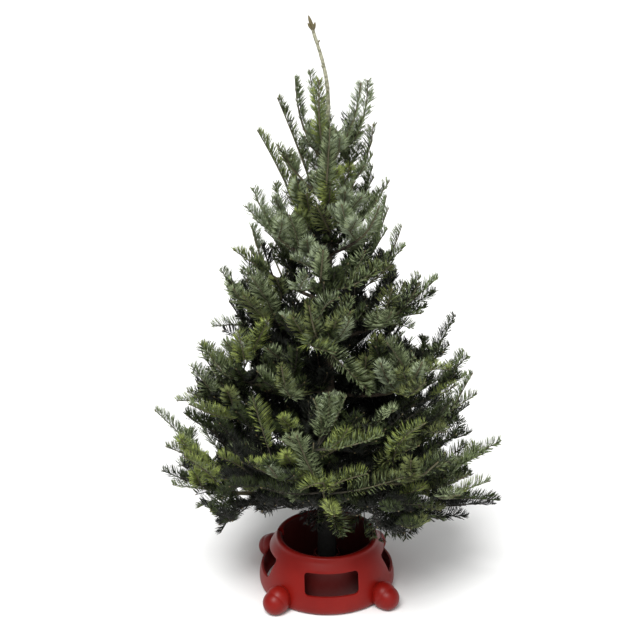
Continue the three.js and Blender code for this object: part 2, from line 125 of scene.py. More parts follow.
TIERS = [dict(zip(TIER_WORDS, row)) for row in (
    ("tier1", 215, 5, 342, 350, 62, 22, -0.12, 0.78, 0.3, 6.5),
    ("tier2", 288, 6, 4, 350, 88, 26, 0.1, 0.95, 0.3, 6.5),
    ("tier3", 372, 4, 174, 308, 92, 24, 0.25, 1, 0.28, 6),
    ("tier4", 455, 6, 8, 270, 105, 24, 0.3, 1, 0, 4.6),
    ("tier5", 560, 5, 190, 226, 138, 22, 0.3, 1, 0, 4.2),
    ("tier6", 655, 4, 352, 184, 122, 18, 0.3, 1, 0, 3.8),
    ("tier7", 750, 4, 214, 166, 122, 14, 0.3, 1, 0, 3.4),
    ("tier8", 850, 4, 180, 126, 148, 12, 0.3, 1, 0, 3),
    ("top", 940, 5, 178, 82, 152, 14, 0.3, 1, 0, 2.8),
)]
AZIMUTH_JITTER = 7
HEIGHT_JITTER = 16
REACH_JITTER = 0.05
RISE_JITTER = 0.12
SIDE_BEND = 0.07
SIDE_ANGLE = 54
SIDE_ANGLE_JITTER = 14
SIDE_SPRAY_MIN = 58
SIDE_SPRAY_MAX = 150
SIDE_SHARE = 0.7
SIDE_EXTRA = 48
HANG = 0.5
LIFT_JITTER = 0.25

UPWARD_PLACE = 0.45
UPWARD_LEAN = 0.5
UPWARD_SHORTER = 0.35
TURN_MIDDLE = 0.5
TURN_END = 0.9
TURN_FORWARD = 0.16
TURN_UP = 0.1
END_SPRAY = 122
END_SPRAY_SHARE = 0.52
NODE_SPACING = 54
FIRST_NODE = 30
BOUGH_END_SPACE = 14

# What the looks carry further: ends that turn up, finer twigs, and the needles

LIMB_END_RISE = {"tier1": 12, "tier2": 20, "tier3": 30, "tier4": 34, "top": 22}
LIMB_END_RISE_ELSE = 38
LIMB_END_DRAWN_IN = 0.08
FRONT_LIFT = {"tier1": 74, "tier2": 26}
END_TURN_UP = 0.5
TWIG_SPACING = 52
TWIG_FROM = 0.32
TWIG_TO = 0.78
TWIG_ANGLE = 44
TWIG_MIN = 44
TWIG_MAX = 86
TWIG_SHARE = 0.5
TWIG_EXTRA = 30
TWIGGED_LENGTH = 82
STEM_TWIG_SPACING = 20
STEM_TWIGS = (185.0, 930)
END_TRIM = 10
OUTLINE_STEP = 24
OUTLINE_INSET = 14
OUTLINE_ROOM = 17
OUTLINE_LONGEST = 170
OUTLINE_DEPTHS = (-75, -45, -15, 15, 45, 75)
OUTLINE_HEIGHTS = (150, 1010)
OUTLINE_PLACES = (-300, 350)
FILL_TRIES = 9000
FILL_ROOM = 29
FILL_ROOM_OUTSIDE = 43
FILL_OUTSIDE = 0.8
FILL_LENGTHS = (52, 125)
FILL_INNER = 0.14
FILL_INNER_MIDDLE = 0.42
MIDDLE_CROWN = (300, 800)
NEEDLE_LENGTH = 26
NEEDLE_HALF_WIDTH = 0.95
NEEDLE_KEEL = 0.5
WIDEST_LEFT = 0.34
WIDEST_RIGHT = 0.74
NEEDLE_TWIST = 1.2
NEEDLE_LIFT = 0.2
COMB_ROLL = 0.35
COMB_EVENNESS = 0.75
LEAN_JITTER = 14
NEEDLES_FROM = (0.2, 0.05, 0.03)
YOUNG_WOOD = 150
OUTER_NEEDLES_PER_MM = 1.9
INNER_NEEDLES_PER_MM = 1.1
INNER_NEEDLE_WIDER = 1.5
LEAN_AT_ROOT = 60
LEAN_AT_TIP = 44
LEAN_UPRIGHT = 48
PLUMP_LEAN = 10
PLUMP_LONGER = 0.16
COMB_SPREAD = 94
COMB_SPREAD_UPRIGHT = 104
COMB_SPREAD_FACING = 60
TOP_TWIGS_BELOW = 985
NEEDLE_OVERHANG = 9
HIGHEST_NEEDLE = 1150
BARE_ROUND_AXIS = 9
MOST_TRIANGLES = 190000

# Where needle colours change with a shoot's place. Its depth is its distance from the axis as
# a share of the crown's reach, blurred by a draw. The foot is judged by the shoot's own place,
# and by where it is seen. The darker colours deep inside, between the outer sprays and at the
# foot are painted shade, the paler ones at the top painted light.
DEPTH_BLUR = 0.3
INNER_DEPTH = 0.83
INNER_DEPTH_HIGH = 0.56
INNER_BELOW = 900
BETWEEN_DEPTH = 1.01
BETWEEN_BELOW = 700
HIGH_CROWN = 760
LOW_CROWN = 460
FOOT_BELOW = 205
FOOT_BELOW_MIDDLE = 240
FOOT_MIDDLE = 150
FOOT_RIGHT = 200
SEEN_FOOT_BELOW = 190
SEEN_FOOT_GAP = (-170, 90)
SAME_COLOUR_SHARE = 0.8

# The photo's view: the camera's place, its lens, and how far it looks down and to one side
SEEN_FROM = np.array([-212.0, -2591.0, 1600.0])
CAMERA_LENS = 76.9
CAMERA_DOWN = 20.91
CAMERA_TURN = -4.4

# The crown as it is seen from there, brought to the plane through the stem: height, and
# reach to the left and to the right. The tips that stand out further follow below.
CROWN = [
    (98, 230, 190), (129, 232, 215), (157, 250, 285), (186, 268, 325), (216, 285, 322),
    (244, 312, 330), (274, 328, 318), (301, 322, 334), (329, 322, 330), (358, 322, 296),
    (388, 310, 288), (413, 304, 292), (439, 294, 292), (467, 284, 284), (494, 268, 276),
    (520, 250, 264), (547, 238, 238), (573, 206, 206), (599, 208, 184), (626, 198, 172),
    (651, 198, 190), (677, 202, 196), (703, 206, 160), (729, 184, 134), (753, 156, 144),
    (778, 130, 138), (803, 142, 130), (828, 142, 114), (853, 132, 108), (877, 116, 106),
    (900, 94, 104), (926, 93, 88), (950, 96, 82), (973, 98, 84), (998, 94, 82),
    (1020, 84, 72), (1043, 84, 78), (1066, 78, 78), (1090, 66, 78), (1113, 46, 70), (1140, 20, 20)]
# The crown's foot in the same plane: place, and height
CROWN_FOOT = [
    (-330, 275), (-310, 257), (-289, 248), (-270, 192), (-249, 177), (-229, 132), (-207, 136),
    (-185, 164), (-164, 186), (-143, 154), (-122, 158), (-90, 166), (-30, 160), (0, 158),
    (30, 150), (62, 142), (84, 140), (105, 118), (137, 108), (170, 96), (190, 112),
    (223, 136), (267, 145), (310, 160), (353, 175)]
# How far inside it a shoot's stem ends, and the room it keeps otherwise
STEM_MARGIN = 11
FOOT_MARGIN = 5
REACH_SLACK = 8
SKY_MARGIN = 3
STAND_ROOM = 10
# Where ends of the top whorl's limbs are seen, by the limb's number
TOP_LIMB_TIPS = {0: (-62, 1112), 3: (77, 1103), 4: (-36, 1124)}
TOP_LIMB_BOWS = {0: -6, 3: 22}
# Tips that stand out on the outline
TIPS = [
    (-159, 852), (-184, 764), (-212, 725), (-257, 565), (-285, 462), (-307, 443),
    (-334, 339), (-343, 283), (-323, 250), (-272, 195), (-227, 134),
    (120, 897), (147, 804), (155, 765), (222, 695), (260, 613), (282, 534), (288, 481),
    (190, 128), (217, 667), (200, 634), (250, 548),
    (88, 1010), (-145, 888)]
TIP_TRIM = 3
TIP_LENGTH = 105
# Tips whose shoot is seen from its start on: tip, and start
LONG_TIPS = [
    (-95, 1065, -34, 880), (-134, 1003, -87, 903), (-86, 951, -54, 872), (-69, 955, -50, 880),
    (-88, 925, -54, 868), (-145, 829, -111, 771), (-200, 690, -177, 614), (-209, 594, -150, 560),
    (-228, 606, -165, 590), (-253, 542, -216, 473), (-276, 503, -225, 460), (-354, 422, -262, 300),
    (88, 928, 69, 876), (116, 867, 105, 793), (187, 701, 156, 648), (189, 620, 141, 600),
    (312, 436, 240, 372), (297, 412, 230, 350), (368, 326, 280, 268), (339, 300, 275, 266),
    (348, 231, 275, 193), (368, 185, 262, 168), (358, 176, 225, 142), (-122, 803, -95, 745),
    (120, 842, 100, 770), (300, 149, 205, 152), (252, 142, 170, 150), (290, 522, 240, 465),
    (302, 482, 262, 415), (318, 303, 250, 262),
    (296, 320, 235, 285), (-112, 815, -88, 775), (-104, 782, -80, 722), (118, 800, 90, 742),
    (-196, 655, -165, 590), (-150, 812, -112, 738), (-130, 772, -104, 706), (90, 906, 72, 850)]
# Where sky is seen through the crown from the front: place in the same plane, and radius
SKY = [
    (-102, 720, 15), (115, 770, 12), (-180, 221, 12), (87, 156, 11), (-49, 915, 10), (-35, 1035, 9),
    (-76, 841, 9), (-23, 697, 9), (111, 688, 8), (-165, 512, 8), (208, 189, 8), (16, 734, 8),
    (-44, 667, 8), (84, 666, 7), (-60, 656, 7), (31, 732, 6), (103, 179, 7), (253, 316, 6),
    (-25, 997, 6), (260, 293, 6), (180, 413, 6), (78, 807, 5), (-32, 889, 5), (24, 1007, 8),
    (-289, 387, 7), (-273, 363, 8), (-257, 340, 9), (-241, 318, 8), (-78, 973, 8), (-59, 1040, 7),
    (-49, 1007, 6), (-11, 1078, 4), (-7, 1057, 4), (-182, 710, 10), (183, 560, 10), (166, 573, 8),
    (-61, 1025, 4), (-51, 998, 4), (-82, 992, 5), (-69, 963, 4), (341, 249, 8), (316, 238, 8),
    (290, 227, 8), (269, 216, 6), (-255, 215, 8), (-234, 207, 8), (120, 110, 11), (32, 1045, 7),
    (33, 1065, 6)]
SKY_PLACES, SKY_RADII = np.array(SKY, float)[:, :2], np.array(SKY, float)[:, 2]
# Sprays that are seen whole at the crown's front: tip, place the shoot comes past, and needle
# colour by its number
FRONT_SPRAYS = [
    (75, 752, 46, 685, 3), (108, 726, 40, 651, 2), (-37, 558, 16, 634, 3), (-41, 704, -79, 654, 5),
    (22, 656, -29, 640, 5), (-149, 701, -104, 631, 3), (-120, 610, -154, 544, 4),
    (-181, 586, -162, 522, 4), (-101, 491, -65, 411, 3), (-153, 439, -136, 368, 4),
    (-283, 430, -186, 374, 4), (-63, 349, -34, 261, 3), (-253, 562, -204, 470, 3),
    (-276, 515, -233, 457, 3), (87, 447, 14, 530, 3), (14, 538, -64, 552, 4), (-27, 432, 6, 367, 3),
    (4, 445, 10, 367, 5), (39, 437, 15, 367, 3), (116, 345, 23, 311, 4), (204, 369, 116, 328, 4),
    (193, 318, 96, 284, 2), (-53, 224, 11, 259, 4), (83, 256, 11, 240, 4), (104, 615, 96, 580, 3),
    (125, 553, 155, 512, 3), (80, 523, 76, 478, 2), (5, 905, 7, 853, 4),
    (-296, 309, -222, 259, 4), (42, 361, 27, 315, 4), (-74, 830, -54, 770, 3),
    (182, 681, 145, 609, 2), (131, 670, 116, 616, 2), (130, 620, 110, 571, 3),
    (-167, 663, -124, 608, 2), (-19, 845, 5, 795, 2), (202, 461, 157, 415, 2),
    (-138, 232, -66, 205, 1), (160, 244, 75, 214, 2), (267, 283, 190, 247, 2)]
# Their depth as a share of the crown's reach, the room kept free before them, how far they may
# stand out, and how much a start beyond their depth counts against a limb
FRONT_DEPTH = 0.84
FRONT_ROOM = 15
FRONT_CLEAR = 12
FRONT_OUT = 12
FRONT_FORWARD = 0.25
FRONT_BARE = 0.4
FRONT_OUTWARD = 1.2
# Hollows at the front, where only inner shoots are seen, darkened with painted shade: place, and
# radius
HOLLOWS = [
    (37, 457, 20), (52, 420, 18), (27, 408, 12), (18, 494, 16), (-43, 509, 16), (-27, 482, 16),
    (-44, 451, 14), (-130, 463, 10), (-111, 344, 14), (-107, 306, 12), (-15, 321, 12),
    (-15, 284, 12), (1, 770, 18), (29, 778, 16), (45, 757, 12), (-176, 623, 10), (130, 755, 10),
    (5, 733, 14), (-56, 388, 12), (38, 371, 10), (-115, 390, 16), (-94, 362, 16), (6, 339, 12),
    (86, 417, 18), (108, 432, 14), (82, 383, 14), (-170, 644, 12), (-182, 353, 12), (63, 552, 14),
    (28, 287, 12), (60, 457, 16), (-11, 450, 12), (-65, 425, 12), (-87, 273, 12)]
HOLLOW_PLACES, HOLLOW_RADII = np.array(HOLLOWS, float)[:, :2], np.array(HOLLOWS, float)[:, 2]
# How far in a hollow starts, as a share of the crown's reach, and how wide its shade is
HOLLOW_DEPTH = 0.35
HOLLOW_SHADE = 6
# Sprigs that hang before and into the stand's mouth: tip, depth from the stem's plane, and
# needle colour by its number
HANGING = [
    (30, 110, -140, 3), (20, 122, -130, 4), (40, 122, -125, 2), (-8, 146, -58, 1),
    (12, 138, -40, 1), (-42, 144, -30, 0), (58, 124, -30, 1), (82, 116, -10, 1), (100, 104, -40, 2),
    (-20, 128, -20, 0), (28, 110, -30, 0), (118, 96, -96, 1), (150, 104, -40, 1),
    (172, 99, -60, 1), (130, 110, -30, 1), (188, 116, -50, 0), (160, 116, -90, 1)]
HANGING_LENGTH = 84


# Materials

def linear(value):
    """A colour written as sRGB hex, as the linear numbers a shader takes."""
    parts = [int(value[i:i + 2], 16) / 255 for i in (1, 3, 5)]
    curve = [c / 12.92 if c <= 0.04045 else ((c + 0.055) / 1.055) ** 2.4 for c in parts]
    return (*curve, 1.0)


def add_node(material, kind, settings=None, links=None):
    """One node with its settings, by property or input name, and links from other sockets."""
    node = material.node_tree.nodes.new(kind)
    for name, value in (settings or {}).items():
        if name in node.inputs:
            node.inputs[name].default_value = value
        else:
            setattr(node, name, value)
    for name, socket in (links or {}).items():
        material.node_tree.links.new(socket, node.inputs[name])
    return node


def new_material(name, colour, roughness, ior=1.5):
    """A material with plain settings, and its shader."""
    material = bpy.data.materials.new(name)
    material.use_nodes = True
    shader = material.node_tree.nodes["Principled BSDF"]
    shader.inputs["Base Color"].default_value = linear(colour)
    shader.inputs["Roughness"].default_value = roughness
    shader.inputs["IOR"].default_value = ior
    return material, shader


def plug(material, shader, sockets):
    """Links sockets to the shader's inputs by name."""
    for name, socket in sockets.items():
        material.node_tree.links.new(socket, shader.inputs[name])
    return material


def blend_colours(material, factor, dark, pale, low, high):
    """A mix of a colour and another, or what a socket gives, by a value between low and high."""
    ramp = add_node(material, "ShaderNodeMapRange", {"From Min": low, "From Max": high},
                    {"Value": factor})
    mix = add_node(material, "ShaderNodeMix", {"data_type": "RGBA"},
                   {"Factor": ramp.outputs["Result"]})
    mix.inputs[6].default_value = linear(dark)
    if isinstance(pale, str):
        mix.inputs[7].default_value = linear(pale)
    else:
        material.node_tree.links.new(pale, mix.inputs[7])
    return mix.outputs[2]


def make_plastic():
    """Injection-moulded polypropylene, red: an even colour with a soft sheen, a faint flow mottle,
    and a fine grain in its surface."""
    material, shader = new_material("red_moulded_polypropylene", "#730e08", 0.42, 1.49)
    place = add_node(material, "ShaderNodeTexCoord").outputs["Object"]
    flow = add_node(material, "ShaderNodeTexNoise", {"Scale": 14.0, "Detail": 3.0},
                    {"Vector": place})
    colour = blend_colours(material, flow.outputs["Fac"], "#6e0c07", "#78110a", 0.35, 0.65)
    grain = add_node(material, "ShaderNodeTexNoise", {"Scale": 900.0, "Detail": 2.0},
                     {"Vector": place})
    sheen = add_node(material, "ShaderNodeMapRange", {"To Min": 0.35, "To Max": 0.45},
                     {"Value": flow.outputs["Fac"]})
    bump = add_node(material, "ShaderNodeBump", {"Strength": 0.12, "Distance": 0.0004},
                    {"Height": grain.outputs["Fac"]})
    shader.inputs["Specular IOR Level"].default_value = 0.2
    return plug(material, shader, {"Base Color": colour, "Roughness": sheen.outputs["Result"],
                                   "Normal": bump.outputs["Normal"]})


def make_bark():
    """Young fir bark: grey-brown and smooth with pale blisters, cracked finely round the stem,
    and near black towards the foot: painted shade, where the crown and the bowl keep light off it."""
    material, shader = new_material("fir_bark", "#5a4c3d", 0.85)
    place = add_node(material, "ShaderNodeTexCoord").outputs["Object"]
    stretched = add_node(material, "ShaderNodeMapping", {"Scale": (1.0, 1.0, 0.35)},
                         {"Vector": place})
    patch = add_node(material, "ShaderNodeTexNoise", {"Scale": 95.0, "Detail": 5.0},
                     {"Vector": stretched.outputs["Vector"]})
    colour = blend_colours(material, patch.outputs["Fac"], "#2e261e", "#5c5042", 0.35, 0.68)
    height = add_node(material, "ShaderNodeSeparateXYZ", links={"Vector": place}).outputs["Z"]
    # painted shade: near black below 0.14 m, fading out by 0.22 m
    colour = blend_colours(material, height, "#0f0c09", colour, 0.14, 0.22)
    blister = add_node(material, "ShaderNodeTexVoronoi", {"Scale": 160.0}, {"Vector": place})
    bump = add_node(material, "ShaderNodeBump", {"Strength": 0.5, "Distance": 0.0012},
                    {"Height": blister.outputs["Distance"]})
    return plug(material, shader, {"Base Color": colour, "Normal": bump.outputs["Normal"]})


def make_leader_bark():
    """Bark of the last year's growth: pale olive, matt, with darker leaf scars."""
    material, shader = new_material("young_fir_bark", "#8d8a63", 0.7)
    place = add_node(material, "ShaderNodeTexCoord").outputs["Object"]
    scar = add_node(material, "ShaderNodeTexNoise", {"Scale": 210.0, "Detail": 4.0},
                    {"Vector": place})
    colour = blend_colours(material, scar.outputs["Fac"], "#6a6954", "#a3a28c", 0.38, 0.62)
    bump = add_node(material, "ShaderNodeBump", {"Strength": 0.35, "Distance": 0.0008},
                    {"Height": scar.outputs["Fac"]})
    return plug(material, shader, {"Base Color": colour, "Normal": bump.outputs["Normal"]})


PLASTIC = make_plastic()
BARK = make_bark()
LEADER_BARK = make_leader_bark()
# The same plastic, darkened as painted shade inside the bowl and behind the windows
SHADED_BOWL_PLASTIC = new_material("red_polypropylene_painted_shade_inside", "#480f0b", 0.5, 1.49)[0]
SHADED_WINDOW_PLASTIC = new_material(
    "red_polypropylene_painted_shade_behind_windows", "#580603", 0.6, 1.49)[0]
# Thin twigs of the last years: tan bark with some green in it
TWIG_BARK = new_material("fir_twig_bark", "#57523c", 0.8)[0]
# Bare old twig wood, grey-brown; on twigs with shaded or deep green needles the same dark bark is
# painted shade
OLD_AND_SHADED_TWIG_BARK = new_material("fir_old_and_shaded_twig_bark", "#2a261c", 0.85)[0]
# Bud scales: red-brown, slightly resinous
BUD_SCALE = new_material("fir_bud_scale", "#5f5639", 0.5)[0]
# Needle tops, waxy and dull. A needle colour's number is its place in this row; the first, shaded,
# is painted shade.
NEEDLE_TOPS = [new_material(name, colour, 0.5, 1.35)[0] for name, colour in (
    ("fir_needle_shaded", "#10150a"),
    ("fir_needle_deep_green", "#35411c"),
    ("fir_needle_olive", "#79824c"),
    ("fir_needle_grey_olive", "#9aa77d"),
    ("fir_needle_yellow_green", "#98a656"),
    ("fir_needle_frosted", "#acb998"),
)]
# How often each needle colour comes, by the shoot's place in the crown: the dark shares inside,
# between and at the foot are painted shade, the pale top shares painted light. A needle may be
# some steps darker than its shoot.
INNER_SHARES = (0.8, 0.2, 0, 0, 0, 0.001)
BETWEEN_SHARES = (0.34, 0.4, 0.15, 0.06, 0.03, 0.021)
LOW_SHARES = (0, 0.14, 0.28, 0.24, 0.3, 0.041)
OUTER_SHARES = (0.03, 0.16, 0.3, 0.35, 0.06, 0.101)
FOOT_SHARES = (0.45, 0.4, 0.12, 0, 0.02, 0.011)
TOP_SHARES = (0, 0.02, 0.16, 0.38, 0.08, 0.361)
DARKER_NEEDLES = 0.22
DARKER_STEPS = 2
# Needle undersides: two pale bands of wax, which read as grey-green
NEEDLE_UNDERSIDE = new_material("fir_needle_underside", "#6c7953", 0.6, 1.35)[0]


# Small tools for modelling

def take(piece):
    """Makes a piece the only selected and active one."""
    bpy.ops.object.select_all(action="DESELECT")
    piece.select_set(True)
    bpy.context.view_layer.objects.active = piece
    return piece


def added(name):
    """The piece that an operator has just added, with a name."""
    piece = bpy.context.object
    piece.name = name
    piece.data.name = name
    return piece


def select_edges(piece, test):
    """Selects the edges whose two ends pass a test. In edit mode."""
    bpy.ops.mesh.select_mode(type="EDGE")
    bpy.ops.mesh.select_all(action="DESELECT")
    bpy.ops.object.mode_set(mode="OBJECT")
    for edge in piece.data.edges:
        edge.select = test([piece.data.vertices[v].co for v in edge.vertices])
    bpy.ops.object.mode_set(mode="EDIT")


@contextmanager
def editing(piece):
    """Edit mode on a piece, with all of it selected."""
    take(piece)
    bpy.ops.object.mode_set(mode="EDIT")
    bpy.ops.mesh.select_all(action="SELECT")
    yield
    bpy.ops.object.mode_set(mode="OBJECT")


def settle(piece):
    """Applies the place, turn and size of a piece to its mesh."""
    take(piece)
    bpy.ops.object.transform_apply(location=True, rotation=True, scale=True)
    return piece


def apply_modifier(piece, kind, **settings):
    take(piece)
    modifier = piece.modifiers.new(kind.title(), kind)
    for name, value in settings.items():
        setattr(modifier, name, value)
    bpy.ops.object.modifier_apply(modifier=modifier.name)
    return piece


def copies_round(piece, count, first):
    """Copies of a piece round the axis, each with its own mesh. The first stays the piece."""
    ring = []
    for i in range(count):
        one = piece if i == 0 else piece.copy()
        if i:
            one.data = piece.data.copy()
            bpy.context.collection.objects.link(one)
        ring.append(one)
    for i, one in enumerate(ring):
        one.data.transform(Matrix.Rotation(math.radians(first + 360 / count * i), 4, "Z"))
    return ring


def combine(pieces):
    take(pieces[0])
    for one in pieces:
        one.select_set(True)
    bpy.ops.object.join()
    return bpy.context.object


def cut_or_join(piece, others, operation):
    """Cuts the others out of a piece, or unites them with it, and removes them."""
    group = bpy.data.collections.new("tools")
    for one in others:
        group.objects.link(one)
    apply_modifier(piece, "BOOLEAN", operation=operation, solver="EXACT",
                   operand_type="COLLECTION", collection=group)
    for one in others:
        bpy.data.objects.remove(one)
    bpy.data.collections.remove(group)
    return piece


def smooth(piece, degrees):
    take(piece)
    bpy.ops.object.shade_smooth_by_angle(angle=math.radians(degrees))
    return piece


def bezier(a, b, c, d, steps):
    """Points on a cubic curve after its start, as pairs."""
    points = []
    for i in range(1, steps + 1):
        t = i / steps
        weights = ((1 - t) ** 3, 3 * (1 - t) ** 2 * t, 3 * (1 - t) * t ** 2, t ** 3)
        points.append(tuple(sum(w * p[k] for w, p in zip(weights, (a, b, c, d))) for k in (0, 1)))
    return points


def close_ends(piece, join):
    """Fills or joins the open rings of a piece and turns all faces outwards."""
    with editing(piece):
        bpy.ops.mesh.select_mode(type="VERT")
        bpy.ops.mesh.select_all(action="DESELECT")
        bpy.ops.mesh.select_non_manifold()
        join()
        bpy.ops.mesh.select_all(action="SELECT")
        bpy.ops.mesh.normals_make_consistent(inside=False)
    return piece


def drawn_up(name, rings, sides, join=bpy.ops.mesh.edge_face_add):
    """A ring that is extruded and resized from one radius, height and shift aside to the next.
    Its open ends are closed with flat faces, or joined to each other."""
    radius, height, aside = rings[0]
    bpy.ops.mesh.primitive_circle_add(
        vertices=sides, radius=radius * MM, location=(aside * MM, 0, height * MM))
    piece = settle(added(name))
    with editing(piece):
        for wider, higher, further in rings[1:]:
            move = ((further - aside) * MM, 0, (higher - height) * MM)
            bpy.ops.mesh.extrude_edges_move(TRANSFORM_OT_translate={"value": move})
            share = wider / radius
            bpy.ops.transform.resize(
                value=(share, share, 1), center_override=(further * MM, 0, higher * MM))
            radius, height, aside = wider, higher, further
    return close_ends(piece, join)


def set_materials(piece, materials, which=lambda face: 0):
    """Gives a piece its materials, and each face the number of its own."""
    piece.data.materials.clear()
    for material in materials:
        piece.data.materials.append(material)
    for face in piece.data.polygons:
        face.material_index = which(face)


# Stand

def stand_profile():
    """Half of the shell's section, from the underside round the skirt and lip to the floor."""
    lip_pull = LIP_HEIGHT + 4 / 3 * LIP_RADIUS
    inner_top = (RIM_RADIUS - STAND_WALL, LIP_UNDERSIDE)
    rim = (RIM_RADIUS, LIP_HEIGHT)
    mouth = (MOUTH_RADIUS, LIP_HEIGHT)
    wall_foot = SKIRT_RADIUS - STAND_WALL
    points = [(BOWL_FOOT_RADIUS, 0), (88, 5), (91.5, 14), (MOUTH_RADIUS + 1, 60)]
    points += [(MOUTH_RADIUS + STAND_WALL, LIP_UNDERSIDE), inner_top]
    points += bezier(inner_top, (132, 72), (155.5, 10), (wall_foot, 1), 14)
    points += [(wall_foot + 1, 0), (SKIRT_RADIUS - 1, 0)]
    points += bezier((SKIRT_RADIUS, 1), (160, 10), (136, 75), rim, 22)
    points += bezier(rim, (RIM_RADIUS, lip_pull), (MOUTH_RADIUS, lip_pull), mouth, 10)
    points += [(MOUTH_RADIUS - 1, 108), (92, 60), (88, 20), (86.5, 13.5), (83, 9.6)]
    return [(*point, 0) for point in (*points, (77, BOWL_FLOOR))]


def make_windows():
    """The blocks that cut the windows: round-cornered, and through the wall only."""
    near, far = WINDOW_CUT
    middle = (WINDOW_LOW + WINDOW_HIGH) / 2
    bpy.ops.mesh.primitive_cube_add(size=1, location=(0, -(near + far) / 2 * MM, middle * MM))
    block = added("window_tool")
    block.scale = (WINDOW_WIDTH * MM, (far - near) * MM, (WINDOW_HIGH - WINDOW_LOW) * MM)
    settle(block)
    with editing(block):
        select_edges(block, lambda ends: abs(ends[0].y - ends[1].y) > 0.01)
        bpy.ops.mesh.bevel(offset=WINDOW_CORNER * MM, segments=6)
    return copies_round(block, FOOT_COUNT, 0)


def cut_below(piece, height):
    """Cuts a piece off flat at a height and closes it there."""
    with editing(piece):
        bpy.ops.mesh.bisect(plane_co=(0, 0, height * MM), plane_no=(0, 0, 1), use_fill=True,
                            clear_inner=True)
    return piece


def make_foot():
    """A ball on the floor, and the hump that runs up the wall from it."""
    bpy.ops.mesh.primitive_uv_sphere_add(
        segments=40, ring_count=24, radius=FOOT_BALL_RADIUS * MM,
        location=(FOOT_CENTRE_RADIUS * MM, 0, FOOT_CENTRE_HEIGHT * MM))
    ball = settle(added("foot_ball"))
    cut_below(ball, 0)
    bpy.ops.mesh.primitive_uv_sphere_add(segments=40, ring_count=24, radius=1)
    hump = added("foot_hump")
    hump.scale = [radius * MM for radius in HUMP_RADII]
    hump.rotation_euler = (0, math.radians(HUMP_LEAN), 0)
    hump.location = [part * MM for part in HUMP_PLACE]
    return ball, cut_below(settle(hump), 1)


def make_socket():
    """The ring that the butt stands in, with four fins down to the bowl's floor."""
    outer = SOCKET_RADIUS + SOCKET_WALL
    low = BOWL_FLOOR - 1
    profile = [(outer + 2, low), (outer + 1.2, 30), (outer, SOCKET_TOP - 1),
               (outer - 1, SOCKET_TOP), (SOCKET_RADIUS + 1, SOCKET_TOP),
               (SOCKET_RADIUS, SOCKET_TOP - 1), (SOCKET_RADIUS, low)]
    ring = drawn_up("trunk_socket", [(*point, 0) for point in profile], 48,
                    bpy.ops.mesh.bridge_edge_loops)
    bpy.ops.mesh.primitive_cube_add(size=1)
    fin = added("fin")
    wide = FIN_REACH - outer + 1
    fin.scale = (wide * MM, FIN_THICKNESS * MM, (FIN_TOP - low) * MM)
    fin.location = ((outer - 1 + wide / 2) * MM, 0, (low + FIN_TOP) / 2 * MM)
    with editing(settle(fin)):
        # its outer edge slopes down from a shoulder at the ring
        select_edges(fin, lambda ends: all(v.z > 0.05 and v.x > 0.05 for v in ends))
        bpy.ops.transform.translate(value=(-(wide - FIN_SHOULDER) * MM, 0, 0))
    apply_modifier(fin, "BEVEL", width=FIN_ROUNDING * MM, segments=2, limit_method="ANGLE")
    return combine([ring, *copies_round(fin, FOOT_COUNT, FOOT_FIRST)])


def plastic_of(face):
    """Which plastic a face is of: painted shade in the bowl or behind the windows, or plain."""
    middle = face.center / MM
    out = math.hypot(middle.x, middle.y)
    inward = (face.normal.x * middle.x + face.normal.y * middle.y) / out < -0.3
    if out < MOUTH_RADIUS + 2 and middle.z > 5 and (inward or out < BOWL_FOOT_RADIUS):
        return 1
    bowl_back = not inward and out < MOUTH_RADIUS + STAND_WALL + 0.5
    return 2 if bowl_back and middle.z < LIP_UNDERSIDE else 0


def make_stand():
    """The shell with its windows, a thumb-wide scoop in the lip at the left, and four feet.
    Then the socket."""
    shell = drawn_up("stand_shell", stand_profile(), TURN_STEPS)
    cut_or_join(shell, make_windows(), "DIFFERENCE")
    bpy.ops.mesh.primitive_cylinder_add(
        vertices=32, radius=SCOOP_RADIUS * MM, depth=SCOOP_LENGTH * MM)
    scoop = added("scoop_tool")
    scoop.location = [part * MM for part in SCOOP_PLACE]
    cut_or_join(shell, [settle(scoop)], "DIFFERENCE")
    apply_modifier(shell, "BEVEL", width=EDGE_ROUNDING * MM, segments=2, limit_method="ANGLE",
                   angle_limit=math.radians(SHARP_EDGE), use_clamp_overlap=True)
    feet = [copies_round(piece, FOOT_COUNT, FOOT_FIRST) for piece in make_foot()]
    cut_or_join(shell, sum(feet, []), "UNION")
    socket = make_socket()
    for piece in (shell, socket):
        set_materials(piece, [PLASTIC, SHADED_BOWL_PLASTIC, SHADED_WINDOW_PLASTIC], plastic_of)
        smooth(piece, 34)
    return shell, socket


# Growth

def seeded(seed):
    """Repeatable draws between 0 and 1, as in the solids."""
    state = seed

    def draw():
        nonlocal state
        state = (1664525 * state + 1013904223) % 4294967296
        return state / 4294967296

    draw()
    draw()
    return draw


def jitter_of(draw):
    """Draws between plus and minus an amount."""
    return lambda amount: amount * (2 * draw() - 1)


def unit(vector):
    return vector / max(np.linalg.norm(vector), 1e-9)


class Course:
    """A line in space that a twig follows, read by its share of the length."""

    def __init__(self, points):
        self.points = np.asarray(points, float)
        steps = np.linalg.norm(np.diff(self.points, axis=0), axis=1)
        self.marks = np.concatenate([[0], np.cumsum(steps)])
        self.length = self.marks[-1]

    def at(self, share):
        place = np.asarray(share) * self.length
        parts = [np.interp(place, self.marks, self.points[:, k]) for k in range(3)]
        return np.stack(parts, axis=-1)

    def ahead(self, share):
        share = np.asarray(share)
        low, high = np.clip(share - 0.04, 0, 1), np.clip(share + 0.04, 0, 1)
        way = self.at(high) - self.at(low)
        return way / np.linalg.norm(way, axis=-1, keepdims=True)

    def part(self, start, end):
        return Course(self.at(np.linspace(start, end, 9)))


